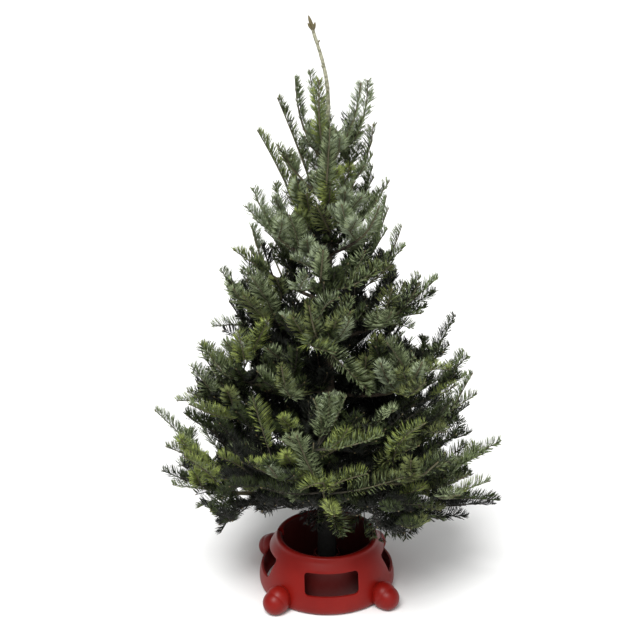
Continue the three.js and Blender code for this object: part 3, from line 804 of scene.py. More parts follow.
def arc(start, middle, end):
    """A quadratic curve as a course."""
    t = np.linspace(0, 1, 9)[:, None]
    return Course((1 - t) ** 2 * start + 2 * (1 - t) * t * middle + t ** 2 * end)


CROWN_HEIGHTS, CROWN_LEFT, CROWN_RIGHT = (np.array(column, float) for column in zip(*CROWN))
FOOT_PLACES, FOOT_HEIGHTS = (np.array(column, float) for column in zip(*CROWN_FOOT))


def crown_reach(points):
    """How far out the crown goes at points, between its left and its right outline."""
    left = np.interp(points[:, 2], CROWN_HEIGHTS, CROWN_LEFT)
    right = np.interp(points[:, 2], CROWN_HEIGHTS, CROWN_RIGHT)
    turn = points[:, 0] / np.maximum(np.hypot(points[:, 0], points[:, 1]), 1)
    return left + (right - left) * (turn + 1) / 2


def along_sight(points, depth):
    """Points moved along the line of sight to another depth."""
    share = (depth - SEEN_FROM[1]) / (points[:, 1] - SEEN_FROM[1])
    return SEEN_FROM + (points - SEEN_FROM) * share[:, None]


def seen_place(x, z, depth):
    """The place at a depth that is seen at x and z in the stem's plane."""
    return along_sight(np.array([[x, 0.0, z]], float), depth)[0]


def outside_crown(points, margin):
    """Where points would stand out of the crown's outline, by less than a margin within."""
    seen = along_sight(points, 0.0)
    outside = seen[:, 0] < margin - np.interp(seen[:, 2], CROWN_HEIGHTS, CROWN_LEFT)
    outside |= seen[:, 0] > np.interp(seen[:, 2], CROWN_HEIGHTS, CROWN_RIGHT) - margin
    foot = np.interp(seen[:, 0], FOOT_PLACES, FOOT_HEIGHTS)
    outside |= seen[:, 2] < foot + (FOOT_MARGIN if margin else 0)
    return outside


def in_the_way(points):
    """Where points would be in the stand. Its mouth is open."""
    out = np.hypot(points[:, 0], points[:, 1])
    low = np.interp(out, [86, 90, 122, 155, 185, 190], [84, 124, 124, 100, 60, 100])
    return points[:, 2] < low


def against_sky(points, margin):
    """Where points would cover a place where sky shows."""
    seen = along_sight(points, 0.0)[:, None, (0, 2)]
    return (np.linalg.norm(seen - SKY_PLACES, axis=2) < SKY_RADII + margin).any(axis=1)


def seen_in_hollow(points, margin):
    seen = along_sight(points, 0.0)[:, None, (0, 2)]
    return (np.linalg.norm(seen - HOLLOW_PLACES, axis=2) < HOLLOW_RADII + margin).any(axis=1)


def in_hollow(points):
    """Where points would fill a hollow at the crown's front."""
    return (points[:, 1] < -HOLLOW_DEPTH * crown_reach(points)) & seen_in_hollow(points, 0)


front_places = []


def before_front_sprays(points):
    """Where points would be seen before a front spray, or close beside it."""
    if not front_places:
        return np.zeros(len(points), bool)
    places = np.array(front_places)
    seen = along_sight(points, 0.0)
    away = np.hypot(seen[:, None, 0] - places[:, 0], seen[:, None, 2] - places[:, 2])
    before = points[:, None, 1] < places[:, 1] + FRONT_CLEAR
    return ((away < FRONT_ROOM) & before).any(axis=1)


def grown_in_space(course, least, margin=STEM_MARGIN):
    """The course as far as it stays in the crown and clear of the stand, if that is longer
    than the least length."""
    points = course.points
    blocked = np.hypot(points[:, 0], points[:, 1]) > crown_reach(points) + REACH_SLACK
    blocked |= against_sky(points, SKY_MARGIN) | in_hollow(points) | before_front_sprays(points)
    blocked |= outside_crown(points, margin) | in_the_way(points - UP * STAND_ROOM)
    if blocked.any():
        first = int(np.argmax(blocked))
        if first < 3:
            return None
        course = Course(points[:first])
    return course if course.length > least else None


def plan_limb(tier, tier_index, index):
    """Where one limb of a tier grows: the same draws as in the solids."""
    jitter = jitter_of(seeded(SEED + 97 * tier_index + 11 * index))
    azimuth = math.radians(tier["first"] + 360 / tier["count"] * index + jitter(AZIMUTH_JITTER))
    height = tier["height"] + jitter(HEIGHT_JITTER)
    frontward = max(0.0, -math.sin(azimuth)) ** 2
    full_reach = tier["reach"] * (1 + jitter(REACH_JITTER))
    reach = full_reach * (1 + (tier["front"] - 1) * frontward)
    rise = tier["rise"] * (1 + jitter(RISE_JITTER))
    bend = reach * jitter(SIDE_BEND)
    share = np.linspace(0, 1, 31)
    out, bow = reach * share, np.sin(np.pi * share)
    upturn = np.clip((share - 0.6) / 0.4, 0, 1) ** 2
    out = out * (1 - LIMB_END_DRAWN_IN * upturn)
    lift = LIMB_END_RISE.get(tier["name"], LIMB_END_RISE_ELSE) * upturn
    lift = lift + FRONT_LIFT.get(tier["name"], 0) * frontward * share
    course = Course(np.stack([
        out * math.cos(azimuth) - bend * bow * math.sin(azimuth),
        out * math.sin(azimuth) + bend * bow * math.cos(azimuth),
        height + rise * share - tier["sag"] * bow + lift], axis=1))
    if tier["name"] == "top" and index in TOP_LIMB_TIPS:
        tip = seen_place(*TOP_LIMB_TIPS[index], course.points[-1, 1])
        shift = (tip - course.points[-1]) * (share ** 1.5)[:, None]
        shift[:, 0] += TOP_LIMB_BOWS.get(index, 0) * bow
        course = Course(course.points + shift)
    outside = outside_crown(course.points, STEM_MARGIN) & (share > 0.5)
    if outside.any() and tier["name"] != "top":
        course = course.part(0, share[int(np.argmax(outside))])
    fine = seeded(SEED + 1009 * tier_index + 83 * index + 7)
    return {"tier": tier, "name": chr(ord("a") + index), "jitter": jitter, "fine": fine,
            "course": course, "shoots": []}


def frame_at(course, share):
    along = unit(course.ahead(share))
    across = unit(np.cross(along, UP))
    return along, across, np.cross(across, along)


def turn_up(height):
    """How much an end turns up: little on the low boughs, more towards the top."""
    return TURN_UP + END_TURN_UP * min(max((height - 180) / 600, 0.15), 1)


def turned_course(start, out, along, length, rise):
    """The course of a shoot that sets off to one side, then turns forward and up."""
    middle = start + out * TURN_MIDDLE * length
    end = start + out * TURN_END * length + along * TURN_FORWARD * length
    return arc(start, middle, end + UP * rise * length)


def side_course(limb, share, side, upward, hang):
    """The course of a shoot that leaves its limb to one side or upward, as in the solids."""
    tier, jitter = limb["tier"], limb["jitter"]
    along, across, above = frame_at(limb["course"], share)
    start = limb["course"].at(share)
    angle = math.radians(SIDE_ANGLE + jitter(SIDE_ANGLE_JITTER))
    room = math.hypot(start[0], start[1]) * math.sin(math.pi / tier["count"]) / math.sin(angle)
    wanted = min(room, SIDE_SHARE * limb["course"].length * (1 - share) + SIDE_EXTRA)
    length = min(max(wanted, SIDE_SPRAY_MIN), SIDE_SPRAY_MAX) * (1 - UPWARD_SHORTER * upward)
    out = along * math.cos(angle) + across * side * math.sin(angle)
    out = out + above * (upward * math.sin(angle) + tier["lift"] - hang + jitter(LIFT_JITTER))
    return turned_course(start, out, along, length, turn_up(start[2]))


def plan_sprays(limb):
    """The places of a limb's shoots, from the tip inwards, as in the solids."""
    length, bare = limb["course"].length, limb["tier"]["bare"]
    end_share = 1 - min(END_SPRAY, END_SPRAY_SHARE * length) / length
    step = NODE_SPACING / length
    inner = bare + (BOUGH_END_SPACE if bare else FIRST_NODE) / length
    places = []
    for node in range(math.ceil((end_share - inner) / step)):
        share = end_share - node * step
        hang = node % 2 * HANG
        between = max(inner, share - UPWARD_PLACE * step)
        places += [(share, 1, 0, hang), (share, -1, 0, hang)]
        places.append((between, limb["jitter"](UPWARD_LEAN), 1, 0))
    return end_share, places


def twig_course(parent, share, side, jitter):
    """The course of a finer twig on a shoot."""
    along, across, above = frame_at(parent, share)
    start = parent.at(share)
    angle = math.radians(TWIG_ANGLE + jitter(9))
    wanted = TWIG_SHARE * parent.length * (1 - share) + TWIG_EXTRA
    length = min(max(wanted, TWIG_MIN), TWIG_MAX) * (1 + jitter(0.15))
    out = along * math.cos(angle) + across * side * math.sin(angle) + above * (0.12 + jitter(0.3))
    return turned_course(start, out, along, length, 0.8 * turn_up(start[2]))


def colour_shares(end, inner, between):
    """How often each needle colour comes on shoots that end near a place: darker inside, between
    the outer sprays and at the foot as painted shade, paler at the top as painted light.
    """
    if inner:
        return INNER_SHARES
    foot = FOOT_BELOW_MIDDLE if abs(end[0]) < FOOT_MIDDLE else FOOT_BELOW
    seen = along_sight(end[None], 0.0)[0]
    in_gap = SEEN_FOOT_GAP[0] < seen[0] < SEEN_FOOT_GAP[1]
    if end[2] < foot and end[0] < FOOT_RIGHT or seen[2] < SEEN_FOOT_BELOW and not in_gap:
        return FOOT_SHARES
    if end[2] > HIGH_CROWN:
        return TOP_SHARES
    if between:
        return BETWEEN_SHARES
    return OUTER_SHARES if end[2] > LOW_CROWN else LOW_SHARES


def add_shoot(limb, course, radius, level, tint=None, free=False, bare=0, plump=0):
    """Gives a limb one more shoot, with a needle colour: older deep inside, and darker there, at
    the foot and behind the front hollows as painted shade. It may be free to leave the crown's
    space, bare for a share of its length, and plump with longer needles that stand out more. Its
    level is 0 for a limb, 1 for a shoot and 2 for a twig."""
    end = course.at(0.8)
    value, other = limb["fine"](), limb["fine"]()
    depth = math.hypot(end[0], end[1]) / float(crown_reach(end[None])[0]) + DEPTH_BLUR * value
    inner = depth < (INNER_DEPTH if end[2] < HIGH_CROWN else INNER_DEPTH_HIGH)
    inner = inner and end[2] < INNER_BELOW
    # shoots seen behind a front hollow take the inner colours: painted shade
    inner = inner or not free and bool(seen_in_hollow(end[None], HOLLOW_SHADE)[0])
    between = (depth < BETWEEN_DEPTH or end[2] < FOOT_BELOW) and end[2] < BETWEEN_BELOW
    if tint is None or (inner or between) and not free:
        tint = int(np.searchsorted(np.cumsum(colour_shares(end, inner, between)), other))
    limb["shoots"].append(
        {"course": course, "radius": radius, "level": level, "tint": tint, "inner": inner,
         "free": free, "bare": bare, "plump": plump})
    return tint


def grow_twigs(limb, parent, tint):
    """Finer twigs on both sides of a shoot, in its own colour for the most part."""
    jitter = jitter_of(limb["fine"])
    share = TWIG_FROM + jitter(0.06)
    while parent.length > TWIGGED_LENGTH and share < TWIG_TO:
        for side in (1, -1):
            if course := grown_in_space(twig_course(parent, share, side, jitter), 28):
                own = limb["fine"]() < SAME_COLOUR_SHARE
                add_shoot(limb, course, 1.1, 2, tint if own else None)
        share += TWIG_SPACING / parent.length


def grow_limb(limb):
    """A limb's end spray and its side shoots, and their twigs."""
    course = limb["course"]
    add_shoot(limb, course.part(0, 1 - END_TRIM / course.length), limb["tier"]["root"], 0)
    end_share, places = plan_sprays(limb)
    is_top = limb["tier"]["name"] == "top"
    if not is_top:
        grow_twigs(limb, course.part(end_share, 1), None)
    for share, side, upward, hang in places:
        shoot = side_course(limb, share, side, upward, hang)
        if is_top:
            shoot = shoot.part(0, 0.7 if shoot.points[0, 2] < TOP_TWIGS_BELOW else 0.1)
        if shoot := grown_in_space(shoot, 30):
            grow_twigs(limb, shoot, add_shoot(limb, shoot, 1.6, 1))


def wanted_slope(height):
    """How steeply a free shoot rises: near level at the crown's foot, steep at the top."""
    return np.interp(height, [120, 300, 600, 900], [0.05, 0.5, 0.85, 1.05])


class Spots:
    """Places on the limbs and their shoots that a further shoot can start from."""

    def __init__(self, limbs):
        self.limbs = limbs
        self.places, self.ways = np.zeros((0, 3)), np.zeros((0, 3))
        self.owners = np.zeros(0, int)
        for number, limb in enumerate(limbs):
            for shoot in limb["shoots"]:
                self.note(number, shoot["course"])

    def note(self, number, course):
        shares = np.linspace(0, 1, max(3, int(course.length / 16)))
        self.places = np.vstack([self.places, course.at(shares)])
        self.ways = np.vstack([self.ways, course.ahead(shares)])
        self.owners = np.concatenate([self.owners, np.full(len(shares), number)])

    def room(self, target):
        return np.linalg.norm(target - self.places, axis=1).min()

    def costs(self, target, longest=FILL_LENGTHS[1]):
        """How badly a shoot from each place to the target would fit: it should lead up and out."""
        away = target - self.places
        far = np.linalg.norm(away, axis=1)
        level = np.maximum(np.hypot(away[:, 0], away[:, 1]), 1)
        slope = np.arctan2(away[:, 2], level)
        outward = (away[:, :2] @ unit(target[:2])) / level
        cost = np.abs(far - 80) + 70 * np.abs(slope - wanted_slope(target[2] - 40))
        cost += 60 * (1 - outward) + 30 * (1 - (away * self.ways).sum(1) / np.maximum(far, 1))
        cost[(far < FILL_LENGTHS[0]) | (far > longest)] += 1000
        return cost

    def grow(self, k, target, radius, least=0.0, margin=STEM_MARGIN):
        """A shoot from one place to the target, if there is space for so much of it. Returns
        what grow_twigs takes."""
        start, far = self.places[k], np.linalg.norm(target - self.places[k])
        middle = start + unit(self.ways[k] + 0.8 * unit(target - start)) * 0.5 * far
        course = grown_in_space(arc(start, middle, target), max(40, least * far), margin)
        if course is None:
            return None
        limb = self.limbs[self.owners[k]]
        self.note(self.owners[k], course)
        return limb, course, add_shoot(limb, course, radius, 1)


def best_start(limbs, shares, costs):
    """The limb, and the share of its length, at which a shoot would fit best."""
    choices = []
    for limb in limbs:
        cost = costs(limb["course"].at(shares))
        k = int(np.argmin(cost))
        choices.append((cost[k], limb, shares[k]))
    return min(choices, key=lambda choice: choice[0])[1:]


def seen_in_crown(x, z, depth):
    """A place seen at x and z, at a depth or as far behind it as the crown's reach asks."""
    place = seen_place(x, z, depth)
    while depth < -20 and math.hypot(*place[:2]) > crown_reach(place[None])[0] + FRONT_OUT:
        depth += 4
        place = along_sight(place[None], depth)[0]
    return place


def grow_front_sprays(limbs):
    """Shoots seen whole at the crown's front, each from the limb that comes nearest to it."""
    shares = np.linspace(0.12, 0.96, 29)
    for x, z, past_x, past_z, tint in FRONT_SPRAYS:
        reach = float(np.interp(past_z, CROWN_HEIGHTS, (CROWN_LEFT + CROWN_RIGHT) / 2))
        wanted = -FRONT_DEPTH * math.sqrt(max(reach ** 2 - past_x ** 2, 0))

        def costs(places):
            seen = along_sight(places, 0.0)
            cost = np.hypot(seen[:, 0] - past_x, seen[:, 2] - past_z + 15)
            cost += 0.4 * np.abs(places[:, 1] - wanted)
            beyond = np.hypot(places[:, 0], places[:, 1]) - FRONT_DEPTH * reach
            return cost + FRONT_OUTWARD * np.maximum(beyond, 0)

        limb, share = best_start(limbs, shares, costs)
        start = limb["course"].at(share)
        depth = (start[1] + wanted) / 2
        past = seen_in_crown(past_x, past_z, depth)
        forward = FRONT_FORWARD * math.hypot(x - past_x, z - past_z)
        tip = seen_in_crown(x, z, depth - forward)
        course = arc(start, past, tip)
        bare = min(max(0, 1 - 1.3 * math.dist(tip, past) / course.length), FRONT_BARE)
        add_shoot(limb, course, 1.6, 1, tint=tint, free=True, bare=bare, plump=1)
        places = course.at(np.linspace(0.45, 1, 6))
        seen = along_sight(places, 0.0)
        front_places.extend(zip(seen[:, 0], places[:, 1], seen[:, 2]))


def grow_tips(limbs):
    """Shoots up to the tips that stand out on the crown's outline, each from a near limb."""
    shares = np.linspace(0.08, 0.97, 28)
    for x, z in TIPS:
        flat = np.array([x, 0.0, z - TIP_TRIM])

        def goal_from(places):
            """The tip's place, nearly at the depth of where its shoot would start."""
            share = 1 + 0.9 * places[..., 1:2] / -SEEN_FROM[1]
            return SEEN_FROM + (flat - SEEN_FROM) * share

        def costs(places):
            away = goal_from(places) - places
            far, level = np.linalg.norm(away, axis=1), np.hypot(away[:, 0], away[:, 1])
            slope = np.arctan2(away[:, 2], level)
            outward = (away[:, :2] * places[:, :2]).sum(1) / np.maximum(
                level * np.hypot(places[:, 0], places[:, 1]), 1)
            cost = np.abs(far - TIP_LENGTH) + 110 * np.abs(slope - wanted_slope(z - 40))
            return cost + (90 * (1 - outward) + 0.4 * np.abs(places[:, 1]))

        limb, share = best_start(limbs, shares, costs)
        start = limb["course"].at(share)
        tip = goal_from(start)
        way = unit(limb["course"].ahead(share) + 0.6 * unit(tip - start))
        course = arc(start, start + way * 0.5 * np.linalg.norm(tip - start), tip)
        tint = add_shoot(limb, course, 1.8, 1, free=True)
        grow_twigs(limb, course.part(0, 0.6), tint)


def grow_long_tips(limbs):
    """Shoots that are seen from start to tip, each from the limb or shoot that is seen there."""
    spots = Spots(limbs)
    for x, z, start_x, start_z in LONG_TIPS:
        seen = along_sight(spots.places, 0.0)
        cost = np.hypot(seen[:, 0] - start_x, seen[:, 2] - start_z)
        k = int(np.argmin(cost + 0.12 * np.abs(spots.places[:, 1])))
        start, limb = spots.places[k], limbs[spots.owners[k]]
        tip = seen_place(x, z - TIP_TRIM, start[1])
        middle = (start + tip) / 2 + UP * 0.05 * np.linalg.norm(tip - start)
        course = arc(start, middle, tip)
        tint = add_shoot(limb, course, 1.8, 1, free=True)
        if z < TOP_TWIGS_BELOW:
            grow_twigs(limb, course.part(0, 0.75), tint)
        spots.note(spots.owners[k], course)


def fill_outline(limbs):
    """Shoots up to the crown's outline where none is seen near it yet."""
    spots = Spots(limbs)
    wanted = []
    for height in range(*OUTLINE_HEIGHTS, OUTLINE_STEP):
        wanted.append((OUTLINE_INSET - np.interp(height, CROWN_HEIGHTS, CROWN_LEFT), height))
        wanted.append((np.interp(height, CROWN_HEIGHTS, CROWN_RIGHT) - OUTLINE_INSET, height))
    for place in range(*OUTLINE_PLACES, OUTLINE_STEP):
        wanted.append((place, np.interp(place, FOOT_PLACES, FOOT_HEIGHTS) + OUTLINE_INSET))
    for x, z in wanted:
        seen = along_sight(spots.places, 0.0)
        if np.hypot(seen[:, 0] - x, seen[:, 2] - z).min() < OUTLINE_ROOM:
            continue
        choices = []
        for depth in OUTLINE_DEPTHS:
            target = seen_place(x, z, depth)
            cost = spots.costs(target, OUTLINE_LONGEST) + 0.3 * abs(depth)
            choices += [(cost[k], k, target) for k in np.argpartition(cost, 12)[:12]]
        for cost, k, target in sorted(choices, key=lambda choice: choice[0]):
            if cost < 300 and (grown := spots.grow(k, target, 1.5, 0.85, 2)):
                grow_twigs(*grown)
                break


def grow_hanging(limbs):
    """Sprigs that droop from the lowest boughs before the stand's mouth and into it."""
    low_limbs = [limb for limb in limbs if limb["tier"]["name"] in ("tier1", "tier2")]
    shares = np.linspace(0.06, 0.6, 16)
    for x, z, depth, shade in HANGING:
        tip = seen_place(x, z, depth)

        def costs(places):
            away = tip - places
            return np.abs(np.linalg.norm(away, axis=1) - HANGING_LENGTH) + 30 * (away[:, 2] > -20)

        limb, share = best_start(low_limbs, shares, costs)
        start = limb["course"].at(share)
        middle = (start + tip) / 2 + UP * 0.22 * np.linalg.norm(tip - start)
        add_shoot(limb, arc(start, middle, tip), 1.4, 1, tint=shade, free=True)


def fill_crown(limbs):
    """Shoots into what room is left in the crown, so that it is full from all sides: each
    grows up and outward from the nearest fitting place of a limb or a shoot."""
    draw_many = np.random.default_rng(SEED + 1).random
    spots = Spots(limbs)
    for _ in range(FILL_TRIES):
        height_value, turn_value, out_value, *more = draw_many(6)
        height = 125 + 1000 * (1 - math.sqrt(1 - 0.97 * height_value))
        turn = 2 * math.pi * turn_value
        way = np.array([math.cos(turn), math.sin(turn), 0.0])
        reach = float(crown_reach(np.array([[way[0], way[1], height]]))[0])
        is_middle = MIDDLE_CROWN[0] < height < MIDDLE_CROWN[1]
        nearest = FILL_INNER_MIDDLE if is_middle else FILL_INNER
        out_share = nearest + (0.98 - nearest) * math.sqrt(out_value)
        target = way * reach * out_share + UP * height
        if outside_crown(target[None], STEM_MARGIN)[0]:
            continue
        if in_the_way(target[None] - UP * STAND_ROOM)[0]:
            continue
        if spots.room(target) < (FILL_ROOM_OUTSIDE if out_share > FILL_OUTSIDE else FILL_ROOM):
            continue
        cost = spots.costs(target)
        k = int(np.argmin(cost))
        if cost[k] < 150:
            spots.grow(k, target + (np.array(more) - 0.5) * 8, 1.4)


def grow_from_stem(limbs):
    """Short twigs between the whorls, straight from the stem, that hide it."""
    draw = seeded(SEED + 3)
    height, highest = STEM_TWIGS
    while height < highest:
        turn = draw() * 2 * math.pi
        length = (64 + 0.1 * (highest - height)) * (0.8 + 0.5 * draw())
        aside = np.array([math.cos(turn), math.sin(turn), 0.0])
        start = np.array([lean_at(height), 0.0, height])
        middle = start + (aside * 0.9 + UP * 0.3) * 0.5 * length
        course = arc(start, middle, middle + (aside * 0.75 + UP * 0.65) * 0.5 * length)
        if course := grown_in_space(course, 40):
            end = course.at(1)
            near = min(limbs, key=lambda limb: np.linalg.norm(limb["course"].at(0.25) - end))
            grow_twigs(near, course, add_shoot(near, course, 1.4, 1))
        height += STEM_TWIG_SPACING * (0.7 + 0.6 * draw()) * (0.7 if height < 360 else 1)


def grow_on_bare_parts(limbs):
    """Small inner shoots on the first part of the low limbs, that fill the crown's foot."""
    for limb in limbs:
        if not limb["tier"]["bare"]:
            continue
        jitter = jitter_of(limb["fine"])
        for step in range(4):
            share = 0.1 + 0.07 * step + jitter(0.02)
            for side in (1, -1):
                along, across, above = frame_at(limb["course"], share)
                start = limb["course"].at(share)
                out = along * 0.7 + across * side * (0.75 + jitter(0.2))
                out = out + above * (0.15 + jitter(0.5))
                length = 78 + jitter(18)
                course = arc(start, start + 0.5 * length * out, start + length * (out + 0.15 * UP))
                if course := grown_in_space(course, 34):
                    add_shoot(limb, course, 1.3, 1)


# Meshes from arrays

def tube(course, radii, sides, steps):
    """Places and triangles of a closed tube along a course, with radii from root to tip."""
    shares = np.linspace(0, 1, steps + 1)
    middles = course.at(shares)
    ahead = course.ahead(shares)
    across = np.cross(ahead, UP + np.array([0.013, 0.007, 0]))
    across /= np.linalg.norm(across, axis=1, keepdims=True)
    above = np.cross(across, ahead)
    turn = np.arange(sides) / sides * 2 * np.pi
    size = np.interp(shares, np.linspace(0, 1, len(radii)), radii)
    ring = (across[:, None] * np.cos(turn)[:, None] + above[:, None] * np.sin(turn)[:, None])
    places = (middles[:, None] + ring * size[:, None, None]).reshape(-1, 3)
    faces = []
    for i in range(steps):
        for j in range(sides):
            a, b = i * sides + j, i * sides + (j + 1) % sides
            faces += [(a, a + sides, b), (b, a + sides, b + sides)]
    root, tip = len(places), len(places) + 1
    places = np.vstack([places, middles[0], middles[-1] + ahead[-1] * radii[-1]])
    for j in range(sides):
        k = (j + 1) % sides
        faces.append((root, j, k))
        faces.append((tip, steps * sides + k, steps * sides + j))
    return places, np.array(faces)


class Heap:
    """Places in millimetres and triangles, gathered from many small shapes into one piece."""

    def __init__(self):
        self.places, self.faces, self.which, self.count, self.size = [], [], [], 0, 0

    def add(self, places, faces, which=None):
        """One more shape, with the number of each triangle's material."""
        self.places.append(places)
        self.faces.append(faces + self.count)
        self.which.append(np.zeros(len(faces), int) if which is None else which)
        self.count += len(places)
        self.size += len(faces)

    def piece(self, name, materials):
        mesh = bpy.data.meshes.new(name)
        mesh.vertices.add(self.count)
        places = (np.vstack(self.places) * MM).astype(np.float32)
        mesh.vertices.foreach_set("co", places.ravel())
        mesh.loops.add(self.size * 3)
        mesh.loops.foreach_set("vertex_index", np.vstack(self.faces).astype(np.int32).ravel())
        mesh.polygons.add(self.size)
        mesh.polygons.foreach_set("loop_start", np.arange(self.size, dtype=np.int32) * 3)
        mesh.polygons.foreach_set("material_index", np.concatenate(self.which).astype(np.int32))
        for material in materials:
            mesh.materials.append(material)
        mesh.update(calc_edges=True)
        mesh.validate()
        piece = bpy.data.objects.new(name, mesh)
        bpy.context.collection.objects.link(piece)
        return piece


# A needle is a closed sliver of four faces: two on top with a ridge, two below. Its root is
# vertex 0, its widest places are 1 and 2, further along on the other side, and its tip is 3.
NEEDLE_FACES = np.array([(0, 3, 1), (0, 2, 3), (0, 1, 2), (1, 3, 2)])


def needles_along(shoot, draw_many):
    """Needles combed to the sides and top of a shoot, leaning forward: four places each."""
    course, inner = shoot["course"], shoot["inner"]
    length = course.length
    start = max(NEEDLES_FROM[shoot["level"]], shoot["bare"])
    if shoot["level"] == 0:
        # a limb keeps fewer needles on its old wood
        young = max(start, 1 - YOUNG_WOOD / length)
        old_count = int(length * (young - start) * INNER_NEEDLES_PER_MM)
        count = int(length * (1 - young) * OUTER_NEEDLES_PER_MM) + 6
        share = np.concatenate([start + (young - start) * draw_many(old_count),
                                young + (1 - young) * draw_many(count)])
        count += old_count
    else:
        density = INNER_NEEDLES_PER_MM if inner else OUTER_NEEDLES_PER_MM
        count = int(length * (1 - start) * density) + 6
        share = start + (1 - start) * (np.arange(count) + draw_many(count)) / count
    base = course.at(share)
    along = course.ahead(share)
    across = np.cross(along, UP)
    across /= np.maximum(np.linalg.norm(across, axis=1, keepdims=True), 1e-6)
    above = np.cross(across, along)
    roll = COMB_ROLL * (2 * draw_many(1)[0] - 1)
    upright = np.clip(along[:, 2], 0, 1) ** 2
    spread = COMB_SPREAD + (COMB_SPREAD_UPRIGHT - COMB_SPREAD) * upright
    # an upright shoot at the front shows its underside, which has needles as well
    spread = np.radians(spread + COMB_SPREAD_FACING * upright * np.clip(-2.5 * along[:, 1], 0, 1))
    value = 2 * draw_many(count) - 1
    side = spread * np.sign(value) * np.abs(value) ** COMB_EVENNESS + roll
    out = across * np.sin(side)[:, None] + above * np.cos(side)[:, None]
    nearer = np.clip((share - 0.7) / 0.3, 0, 1)
    lean = LEAN_AT_ROOT + (LEAN_AT_TIP - LEAN_AT_ROOT) * nearer
    lean = lean + (LEAN_UPRIGHT - lean) * upright + PLUMP_LEAN * shoot["plump"]
    lean = np.radians(lean + LEAN_JITTER * (draw_many(count) - 0.5))
    way = along * np.cos(lean)[:, None] + out * np.sin(lean)[:, None]
    way = way + above * (NEEDLE_LIFT * np.abs(np.sin(side)))[:, None]
    way /= np.linalg.norm(way, axis=1, keepdims=True)
    size = NEEDLE_LENGTH * (0.88 + 0.22 * draw_many(count)) * (1 + PLUMP_LONGER * shoot["plump"])
    size = size * np.clip(0.62 + 2.5 * (share - start), 0, 1)
    size = size * np.clip(0.52 + 2.4 * (1 - share), 0, 1)
    face = along - way * (along * way).sum(1, keepdims=True)
    face /= np.maximum(np.linalg.norm(face, axis=1, keepdims=True), 1e-6)
    other = np.cross(way, face)
    twist = NEEDLE_TWIST * (2 * draw_many(count) - 1)
    face, wide = (face * np.cos(twist)[:, None] + other * np.sin(twist)[:, None],
                  other * np.cos(twist)[:, None] - face * np.sin(twist)[:, None])
    root = base - out * 0.3
    half = NEEDLE_HALF_WIDTH * (0.9 + 0.2 * draw_many(count))[:, None]
    half = half * (INNER_NEEDLE_WIDER if inner else 1)
    sunk = face * NEEDLE_KEEL
    left = root + way * (WIDEST_LEFT * size)[:, None] + wide * half - sunk
    right = root + way * (WIDEST_RIGHT * size)[:, None] - wide * half - sunk
    tip = root + way * size[:, None] + above * (0.05 * size)[:, None]
    return np.stack([root, left, right, tip], axis=1)


def trim_needles(places, free):
    """Keeps the needles whose tips stay in the crown's space and clear of stand and trunk."""
    tip = places[:, 3]
    low = np.array(cad_low)[:2] / MM - NEEDLE_OVERHANG
    high = np.array(cad_high)[:2] / MM + NEEDLE_OVERHANG
    keep = ((tip[:, :2] > low) & (tip[:, :2] < high)).all(axis=1)
    if not free:
        seen = along_sight(tip, 0.0)
        keep &= seen[:, 2] > np.interp(seen[:, 0], FOOT_PLACES, FOOT_HEIGHTS) - 3
    keep &= (tip[:, 2] < HIGHEST_NEEDLE) & (np.hypot(tip[:, 0], tip[:, 1]) > BARE_ROUND_AXIS)
    keep &= ~in_the_way(tip)
    keep &= ~against_sky(tip, -1) & ~against_sky(places[:, 1], -2)
    return places[keep]


def make_foliage(limbs):
    """Needles and twigs of all limbs, each kind joined into pieces; a needle piece holds no more
    than
    MOST_TRIANGLES triangles.
    """
    draw_many = np.random.default_rng(SEED).random
    twigs = Heap()
    pieces, heap, names = [], Heap(), []

    def close_heap():
        piece = heap.piece(f"fir_needles_{len(pieces) + 1}", [*NEEDLE_TOPS, NEEDLE_UNDERSIDE])
        pieces.append((piece, list(names)))

    for limb in limbs:
        batch = []
        for shoot in limb["shoots"]:
            if shoot["level"]:
                sides, steps = (5, 5) if shoot["level"] == 1 else (4, 3)
                radii = (shoot["radius"] + 0.3, 0.9)
                stem_places, stem_faces = tube(shoot["course"], radii, sides, steps)
                old = np.arange(len(stem_faces)) < shoot["bare"] * len(stem_faces)
                # twigs with shaded or deep green needles take the dark bark too: painted shade
                old |= shoot["tint"] < 2
                twigs.add(stem_places, stem_faces, old.astype(int))
            places = trim_needles(needles_along(shoot, draw_many), shoot["free"])
            if len(places):
                batch.append((places, shoot["tint"]))
        size = sum(len(places) for places, _ in batch) * len(NEEDLE_FACES)
        if heap.size + size > MOST_TRIANGLES:
            close_heap()
            heap, names = Heap(), []
        for places, tint in batch:
            count = len(places)
            faces = (NEEDLE_FACES[None] + 4 * np.arange(count)[:, None, None]).reshape(-1, 3)
            darker = draw_many(count) < DARKER_NEEDLES
            top = np.maximum(tint - DARKER_STEPS * darker, 0)
            # shaded and deep green needles are dark underneath too, instead of the pale wax:
            # painted shade
            under = np.where(top < 2, top, len(NEEDLE_TOPS))
            which = np.stack([top, top, under, under], axis=1).ravel()
            heap.add(places.reshape(-1, 3), faces, which)
        names.append(f"{limb['tier']['name']}_foliage_{limb['name']}")
    close_heap()
    return pieces, smooth(twigs.piece("fir_twigs", [TWIG_BARK, OLD_AND_SHADED_TWIG_BARK]), 60)


# Trunk, boughs and leader

def lean_at(height):
    """How far the leader leans to the side at a height."""
    return float(np.interp(height, *zip(*LEADER_LINE)))


def trunk_radius(height):
    heights, radii = zip(*TRUNK_TAPER)
    radius = float(np.interp(height, heights, radii))
    for tier in TIERS:
        radius += NODE_SWELLING * math.exp(-((height - tier["height"]) / 9) ** 2)
    return radius


